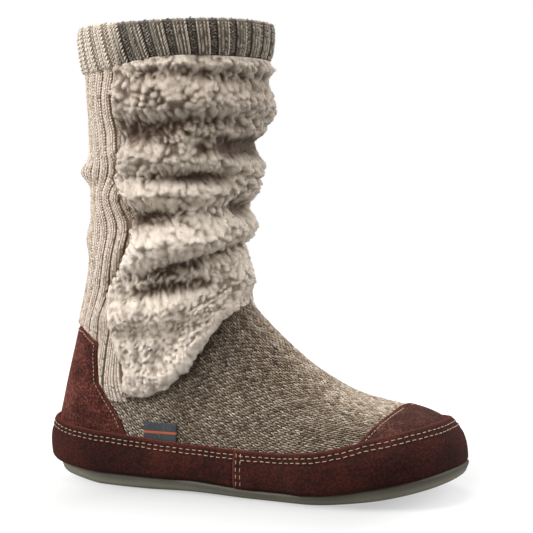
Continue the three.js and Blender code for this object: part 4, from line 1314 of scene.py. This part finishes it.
PILE_HAIR = (3.0, 0.15, 1.3)
PILE_HAIRS = {"outer": 32000, "inner": 12000}
corners = face[quads]
turned = np.cross(corners[:, 2] - corners[:, 0], corners[:, 3] - corners[:, 1])
areas = np.linalg.norm(turned, axis=-1)
point_normals = np.zeros(face.shape)
for i in range(4):
    np.add.at(point_normals, quads[:, i], turned)
point_normals = unit(point_normals)
back_inside, lower_inside, upper = inside_edges(k, phi)
hairiness = areas * (1 + 2.5 * eased(5, 0, np.minimum(back_inside, lower_inside))[quads[:, 0]])
for label, count in PILE_HAIRS.items():
    shown = (phi[quads[:, 0]] > -0.1) == (label == "outer")
    shown &= upper[quads[:, 0]] > 0.3
    roots = rng.choice(len(quads), count, p=hairiness * shown / (hairiness * shown).sum())
    weights = rng.dirichlet(np.ones(4), count)[..., None]
    at = quads[roots]
    lie = unit((point_normals[at] * weights).sum(1))
    heading = unit(np.cross(lie, rng.normal(0, 1, lie.shape)))
    heading = heading + lie * rng.uniform(0.0, 1.5, (count, 1))
    hair_shade = np.clip((shade[at] * weights[..., 0]).sum(1) + rng.normal(0.04, 0.09, count), 0, 1)
    hair_points = (face[at] * weights).sum(1) + lie * rng.uniform(0.0, 0.7, (count, 1))
    sizes = rng.normal(1, 0.25, (count, 3)).clip(0.4, 1.7)
    wisps = rng.lognormal(0, 0.5, count).clip(0.5, 3)
    sizes[:, 1] *= wisps
    hair_shade = np.clip(hair_shade + 0.06 * (wisps - 1), 0, 1)
    hair_normal = lie + rng.normal(0, 0.4, lie.shape)
    fuzz = scatter("fleece_fuzz_" + label, LOOSE_HAIR, hair_points, heading, hair_normal, sizes, hair_shade,
                   cream_pile, PILE_HAIR, lie)
    dress(fuzz, "fleece", None)
bpy.data.objects.remove(LOOSE_HAIR)

# Back panel: a strip of thick cream rib knit down the back of the shaft, sewn in between the two edges of the
# fleece. Its ribs run up the leg and buckle sideways where the shaft folds.
BACK_RIBS = 36
RIB_TURN = 2 * np.pi / BACK_RIBS
BACK_PANEL, BACK_RELIEF = 2.2, 2.3
SHAFT_RADIUS = 46
RIB_BUCKLES = ((4.2, 194, 11), (-3.2, 174, 10), (2.4, 150, 12), (-1.8, 226, 14))  # push, height, half height
PANEL_UNDER_FLEECE, PANEL_UNDER_COUNTER, PANEL_UNDER_CUFF, PANEL_FOOT = 4.5, 2.0, 2, 52


def rib_sway(z, phi):
    """How far the ribs are pushed sideways where the shaft buckles, as an angle round the leg."""
    push = sum(size * np.exp(-((z - height) / reach) ** 2) for size, height, reach in RIB_BUCKLES)
    return np.clip(1.4 * np.sin(phi), -1, 1) * push / SHAFT_RADIUS


def rib_wave(phi, z):
    """1 on the crest of a rib, 0 in the groove between two."""
    return np.abs(np.sin(BACK_RIBS / 2 * (phi + rib_sway(z, phi))))


def outside_back(k, phi):
    """How far past the panel's edges, which all lie under the pieces beside it."""
    x, z = side_view(k, phi)
    return np.maximum.reduce([
        x - fleece_back(z) - PANEL_UNDER_FLEECE, -past_counter(x, z) - PANEL_UNDER_COUNTER, PANEL_FOOT - z,
        z - CUFF_FOOT - PANEL_UNDER_CUFF])


def edge_groove(x, z):
    """1 in the groove along the fleece's edge, where the rib turns in under the pile; it also adds painted
    shade there.
    """
    away = fleece_back(z) - x
    return np.exp(-((away - 1.5) / 2.2) ** 2) * eased(105, 130, z) * eased(236, 216, z)


def on_back(k, phi, extra):
    """Points on the ribs: the panel dips under the counter's edge and is flatter low down."""
    x, z = side_view(k, phi)
    ribbed = np.maximum(eased(3, 10, fleece_back(z) - x), eased(95, 120, z)) * (0.3 + 0.7 * eased(80, 130, z))
    lift = BACK_PANEL + BACK_RELIEF * (rib_wave(phi, z) - 0.6) * ribbed
    lift = lift + 0.6 * fold_depth(phi, z) - 1.4 * edge_groove(x, z)
    return on_sock(k, phi, PIECE_GAP + lift * eased(-0.3, 2.5, past_counter(x, z)) * eased(50, 66, z) + extra)


def rib_ground(name, fleck):
    """The wool under the stitches of a rib, with its fibres and a tone that goes by the rib: painted shade in
    its grooves.
    """
    wool = Finish(name, Roughness=0.95, Sheen_Weight=0.3)
    fibre = wool.noise(0.5, 5, 0.7)
    return wool, fibre, wool.sum(wool.attribute("rib"), wool.span(fibre, 0.3, 0.7, -fleck, fleck))


back_columns = np.linspace(0.44 * np.pi, 1.56 * np.pi, 260)
back_rows = rows_up(np.linspace(6.4, 15.6, 600), 140, 2.2)
k, phi, quads = cut_patch(back_rows, back_columns, outside_back)
x, z = side_view(k, phi)
# The rib's tone: painted shade in the grooves between ribs and along the fleece's edge.
wave = rib_wave(phi, z) - 0.6 * edge_groove(x, z)
face = on_back(k, phi, 0.0)
under = on_sock(k, phi, 0.1)
back = mesh_piece("back_rib", np.concatenate([face, under]), thick(quads, len(k)), {"rib": np.tile(wave, 2)})
facing_out(back)
rib_wool, rib_fibre, rib_tone = rib_ground("cream_rib_ground", 0.15)
rib_colour = rib_wool.ramp(rib_tone, (0.1, "#644f3a"), (0.5, "#a18b72"), (0.9, "#cdbca8"))
dress(back, "rib_knit", rib_wool.finish(rib_colour, normal=rib_wool.bump(rib_fibre, 0.5)), "back_rib")

FINE_LEG = spindle("fine_leg", [(-0.5, 0.4, -0.15), (0, 1, 0.08), (0.5, 0.4, -0.15)], 3)
RIB_COURSE = 1.75
RIB_LEGS = (-0.36, -0.22, -0.075, 0.075, 0.22, 0.36)  # places of the loop legs across a rib, three wales
RIB_SLANT = math.radians(26)
RIB_LAP, RIB_FILL, RIB_THICK = 1.5, 0.15, 1.1  # length by course, width by rib, thickness in mm
PANEL_INSET, COUNTER_CLEAR = 0.3, 0.4  # the stitches end this far inside the panel and off the counter
rib_places = np.concatenate([(np.arange(BACK_RIBS) + 0.5 + leg) * RIB_TURN for leg in RIB_LEGS])
rib_sides = np.repeat([-1.0, 1.0] * 3, BACK_RIBS)
rib_courses = rows_up(np.linspace(6.4, 15.5, 800), 150, RIB_COURSE)
k, phi = (a.ravel() for a in np.meshgrid(rib_courses, rib_places, indexing="ij"))
leg_side = np.tile(rib_sides, len(rib_courses))
second_wale = np.tile(np.repeat([0.0, 0.5, 0.0], 2 * BACK_RIBS), len(rib_courses))
k = k + second_wale * np.interp(k, rib_courses[:-1], np.diff(rib_courses))
_, z = side_view(k, phi)
phi = phi - rib_sway(z, phi)
x, z = side_view(k, phi)
shown = (outside_back(k, phi) < -PANEL_INSET) & (past_counter(x, z) > COUNTER_CLEAR)
k, phi, leg_side, x, z = (a[shown] for a in (k, phi, leg_side, x, z))
slant = RIB_SLANT * leg_side + rng.normal(0, 0.06, len(k))
heading, normal, size_k, size_phi = stitch_frame(on_back, k, phi, slant)
course_size = size_k * np.interp(k, rib_courses[:-1], np.diff(rib_courses))
rib_leg = np.stack([course_size * RIB_LAP, size_phi * RIB_TURN * RIB_FILL, np.full(len(k), RIB_THICK)], -1)
sizes = rib_leg * rng.normal(1, 0.07, (len(k), 3))
cream_marl = marled_yarn("cream_marl", 0.3, 0.4, 0.28, (
    (0.0, "#836a51"), (0.25, "#bea994"), (0.6, "#decebe"), (1.0, "#eee4d9")))
back_shade = rng.normal(0.74, 0.24, len(k)) - 0.2 * (rng.uniform(size=len(k)) < 0.12)
# Painted shade on the stitches in the grooves between ribs and along the fleece's edge.
back_shade -= 0.32 * (1 - rib_wave(phi, z)) * (0.4 + 0.6 * eased(80, 130, z))
back_shade = np.clip(back_shade - 0.5 * edge_groove(x, z), 0, 1)
points = on_back(k, phi, 0.0)
back_stitches = scatter("back_stitches", FINE_LEG, points, heading, normal, sizes, back_shade, cream_marl)
dress(back_stitches, "rib_knit", None)

# Cuff: a doubled band of broad two-by-two rib, folded over the rim of the sock and sewn down. Its raised ribs
# are mid brown with pale edges, the troughs between them dark with painted shade; at the back it is cream as
# the panel below.
CUFF_RIBS = 28
CUFF_RIB_COLUMNS = 22
CUFF, CUFF_ROLL, CUFF_RELIEF = 4.2, 0.4, 1.5
CUFF_MIDDLE, CUFF_HALF = 265, 12
RIM_RISE, RIM_ROUND = 2.0, 2.6
CUFF_CLEARANCE = 1.2
CUFF_HEM = [(253.3, 2.1), (253.0, 1.2), (253.2, 0.2)]  # height, distance from the sock


def cuff_lean(z, phi):
    """How far the ribs lean back towards the rim, as an angle round the leg."""
    return 0.005 * (z - CUFF_MIDDLE) * np.sin(phi) * (1 - 0.6 * np.cos(phi))


def cuff_rib(z, phi):
    """1 on the broad face of a rib, 0 in a trough."""
    return eased(-0.6, 0.35, np.cos(CUFF_RIBS * (phi - cuff_lean(z, phi))))


def cuff_rise(z):
    """The cuff's thickness, which rolls off towards its rim and its hem."""
    return CUFF * (1 - CUFF_ROLL * np.minimum(np.abs(z - CUFF_MIDDLE) / CUFF_HALF, 1) ** 4)


def cream_back(x):
    """1 where the cuff is cream, at the back."""
    return eased(-60, -72, x)


def cuff_path():
    """The cuff's cross-section, from its inner hem over the rim to its outer hem: height and distance out."""
    inside = -SOCK_WALL - CUFF_CLEARANCE
    inner = [(z, inside) for z in np.linspace(262, 273.5, 6)]
    arc = np.radians(np.linspace(165, 15, 9))
    middle, radius = (inside + CUFF) / 2, (CUFF - inside) / 2
    top = [(RIM - RIM_ROUND + RIM_ROUND * math.sin(a), middle + radius * math.cos(a)) for a in arc]
    face = [(z, cuff_rise(z)) for z in np.linspace(274, 254.2, 22)]
    return np.array(inner + top + face + CUFF_HEM)


path = cuff_path()
cuff_phi = np.linspace(0, 2 * np.pi, CUFF_RIBS * CUFF_RIB_COLUMNS, endpoint=False)
z_grid, phi_grid = np.meshgrid(path[:, 0], cuff_phi, indexing="ij")
lift_grid = np.repeat(path[:, 1][:, None], len(cuff_phi), 1)
k_of_height = np.linspace(13.5, 16, 400)
side_heights = last_point(k_of_height, np.pi / 2)[:, 2]


def on_cuff(z, phi, lift):
    """Points off the cuff's place on the sock; its hem hangs lower at the back."""
    z = z - (CUFF_FOOT - cuff_hem(phi)) * eased(273, 254, z)
    z = z + RIM_RISE * eased(-0.3, 1.0, np.cos(phi)) * eased(260, 276, z)
    k = np.interp(z, side_heights, k_of_height)
    base = last_point(k, phi)
    normal = unit(last_normal(k, phi) * (1, 1, 0))
    point = base + normal * np.asarray(lift)[..., None]
    point[..., 2] = z
    return point


relief_share = np.clip((lift_grid - 0.5) / 2.5, 0, 1)
lift_grid = lift_grid + PIECE_GAP + CUFF_RELIEF * (cuff_rib(z_grid, phi_grid) - 0.55) * relief_share
cuff_points = on_cuff(z_grid, phi_grid, lift_grid)
cream_share = cream_back(cuff_points[..., 0])
cuff = mesh_piece("cuff", cuff_points.reshape(-1, 3), grid_quads(len(path), len(cuff_phi), wrap=True),
                  {"rib": cuff_rib(z_grid, phi_grid).ravel(), "cream": cream_share.ravel()})
facing_out(cuff)
cuff_wool, cuff_fibre, cuff_tone = rib_ground("cuff_ground", 0.2)
# The troughs' dark ground is painted shade.
brown_rib = cuff_wool.ramp(cuff_tone, (0.1, "#3b332b"), (0.5, "#51483d"), (0.9, "#675c50"))
cream_rib = cuff_wool.ramp(cuff_tone, (0.1, "#83745f"), (0.9, "#c4b7a4"))
cuff_colour = cuff_wool.mix(cuff_wool.attribute("cream"), brown_rib, cream_rib)
dress(cuff, "cuff_knit", cuff_wool.finish(cuff_colour, normal=cuff_wool.bump(cuff_fibre, 0.6)), "cuff")

CUFF_COURSE = 1.9
cuff_heights = np.arange(255, 276.5, CUFF_COURSE)
CUFF_TURN = 2 * np.pi / CUFF_RIBS
CUFF_LEGS = np.array([  # place across a rib, slant in degrees, tone; the trough's legs are darker as painted shade
    [-0.235, -20, 1.05], [-0.085, 20, 0.68], [0.085, -20, 0.62], [0.235, 20, 0.76],
    [0.41, 50, 0.5], [0.5, -50, 0.45], [0.59, 50, 0.5],
])
FACE_LEGS, TROUGH_MIDDLE = 4, 5  # four legs lie on the rib's face; this one is the middle of the trough
leg_places, leg_slants, leg_tones = CUFF_LEGS.T
centre, place = np.meshgrid(np.arange(CUFF_RIBS) * CUFF_TURN, np.arange(len(CUFF_LEGS)), indexing="ij")
phi = (centre + leg_places[place] * CUFF_TURN).ravel()
place = place.ravel()
z = np.repeat(cuff_heights, len(phi))
phi, place = np.tile(phi, len(cuff_heights)), np.tile(place, len(cuff_heights))
z = z + rng.normal(0, 0.12, len(z)) + np.where(place == TROUGH_MIDDLE, CUFF_COURSE / 2, 0)
phi = phi + cuff_lean(z, phi)


def cuff_face(z, phi, extra):
    """Points on the cuff's outer side."""
    return on_cuff(z, phi, cuff_rise(z) + PIECE_GAP + CUFF_RELIEF * (cuff_rib(z, phi) - 0.55) + extra)


slant = np.radians(leg_slants[place]) + rng.normal(0, 0.07, len(z))
heading, normal, _, _ = stitch_frame(cuff_face, z, phi, slant)
leg_long = np.where(place < FACE_LEGS, CUFF_COURSE * 1.5, 2.3)
leg_wide = np.where(place < FACE_LEGS, 1.3, 1.05)
sizes = np.stack([leg_long, leg_wide, np.full(len(z), 1.5)], -1) * rng.normal(1, 0.07, (len(z), 3))
points = cuff_face(z, phi, 0.1)
creamy = cream_back(points[:, 0])
cuff_shade = np.clip(leg_tones[place] + rng.normal(0, 0.2, len(z)), 0, 1)
cuff_shade = cuff_shade * (1 - creamy) + (1.1 + 0.5 * cuff_shade) * creamy
cuff_marl = marled_yarn("cuff_marl", 0.3, 0.4, 0.2, (
    (0.0, "#37302a"), (0.2, "#6b6053"), (0.36, "#928676"), (0.55, "#bdb09e"), (0.75, "#d6cabb"),
    (1.0, "#ebe2d6")), full=1.8)
cuff_stitches = scatter("cuff_stitches", FINE_LEG, points, heading, normal, sizes, cuff_shade, cuff_marl)
dress(cuff_stitches, "cuff_knit", None)
bpy.data.objects.remove(LOOP_LEG)
bpy.data.objects.remove(FINE_LEG)
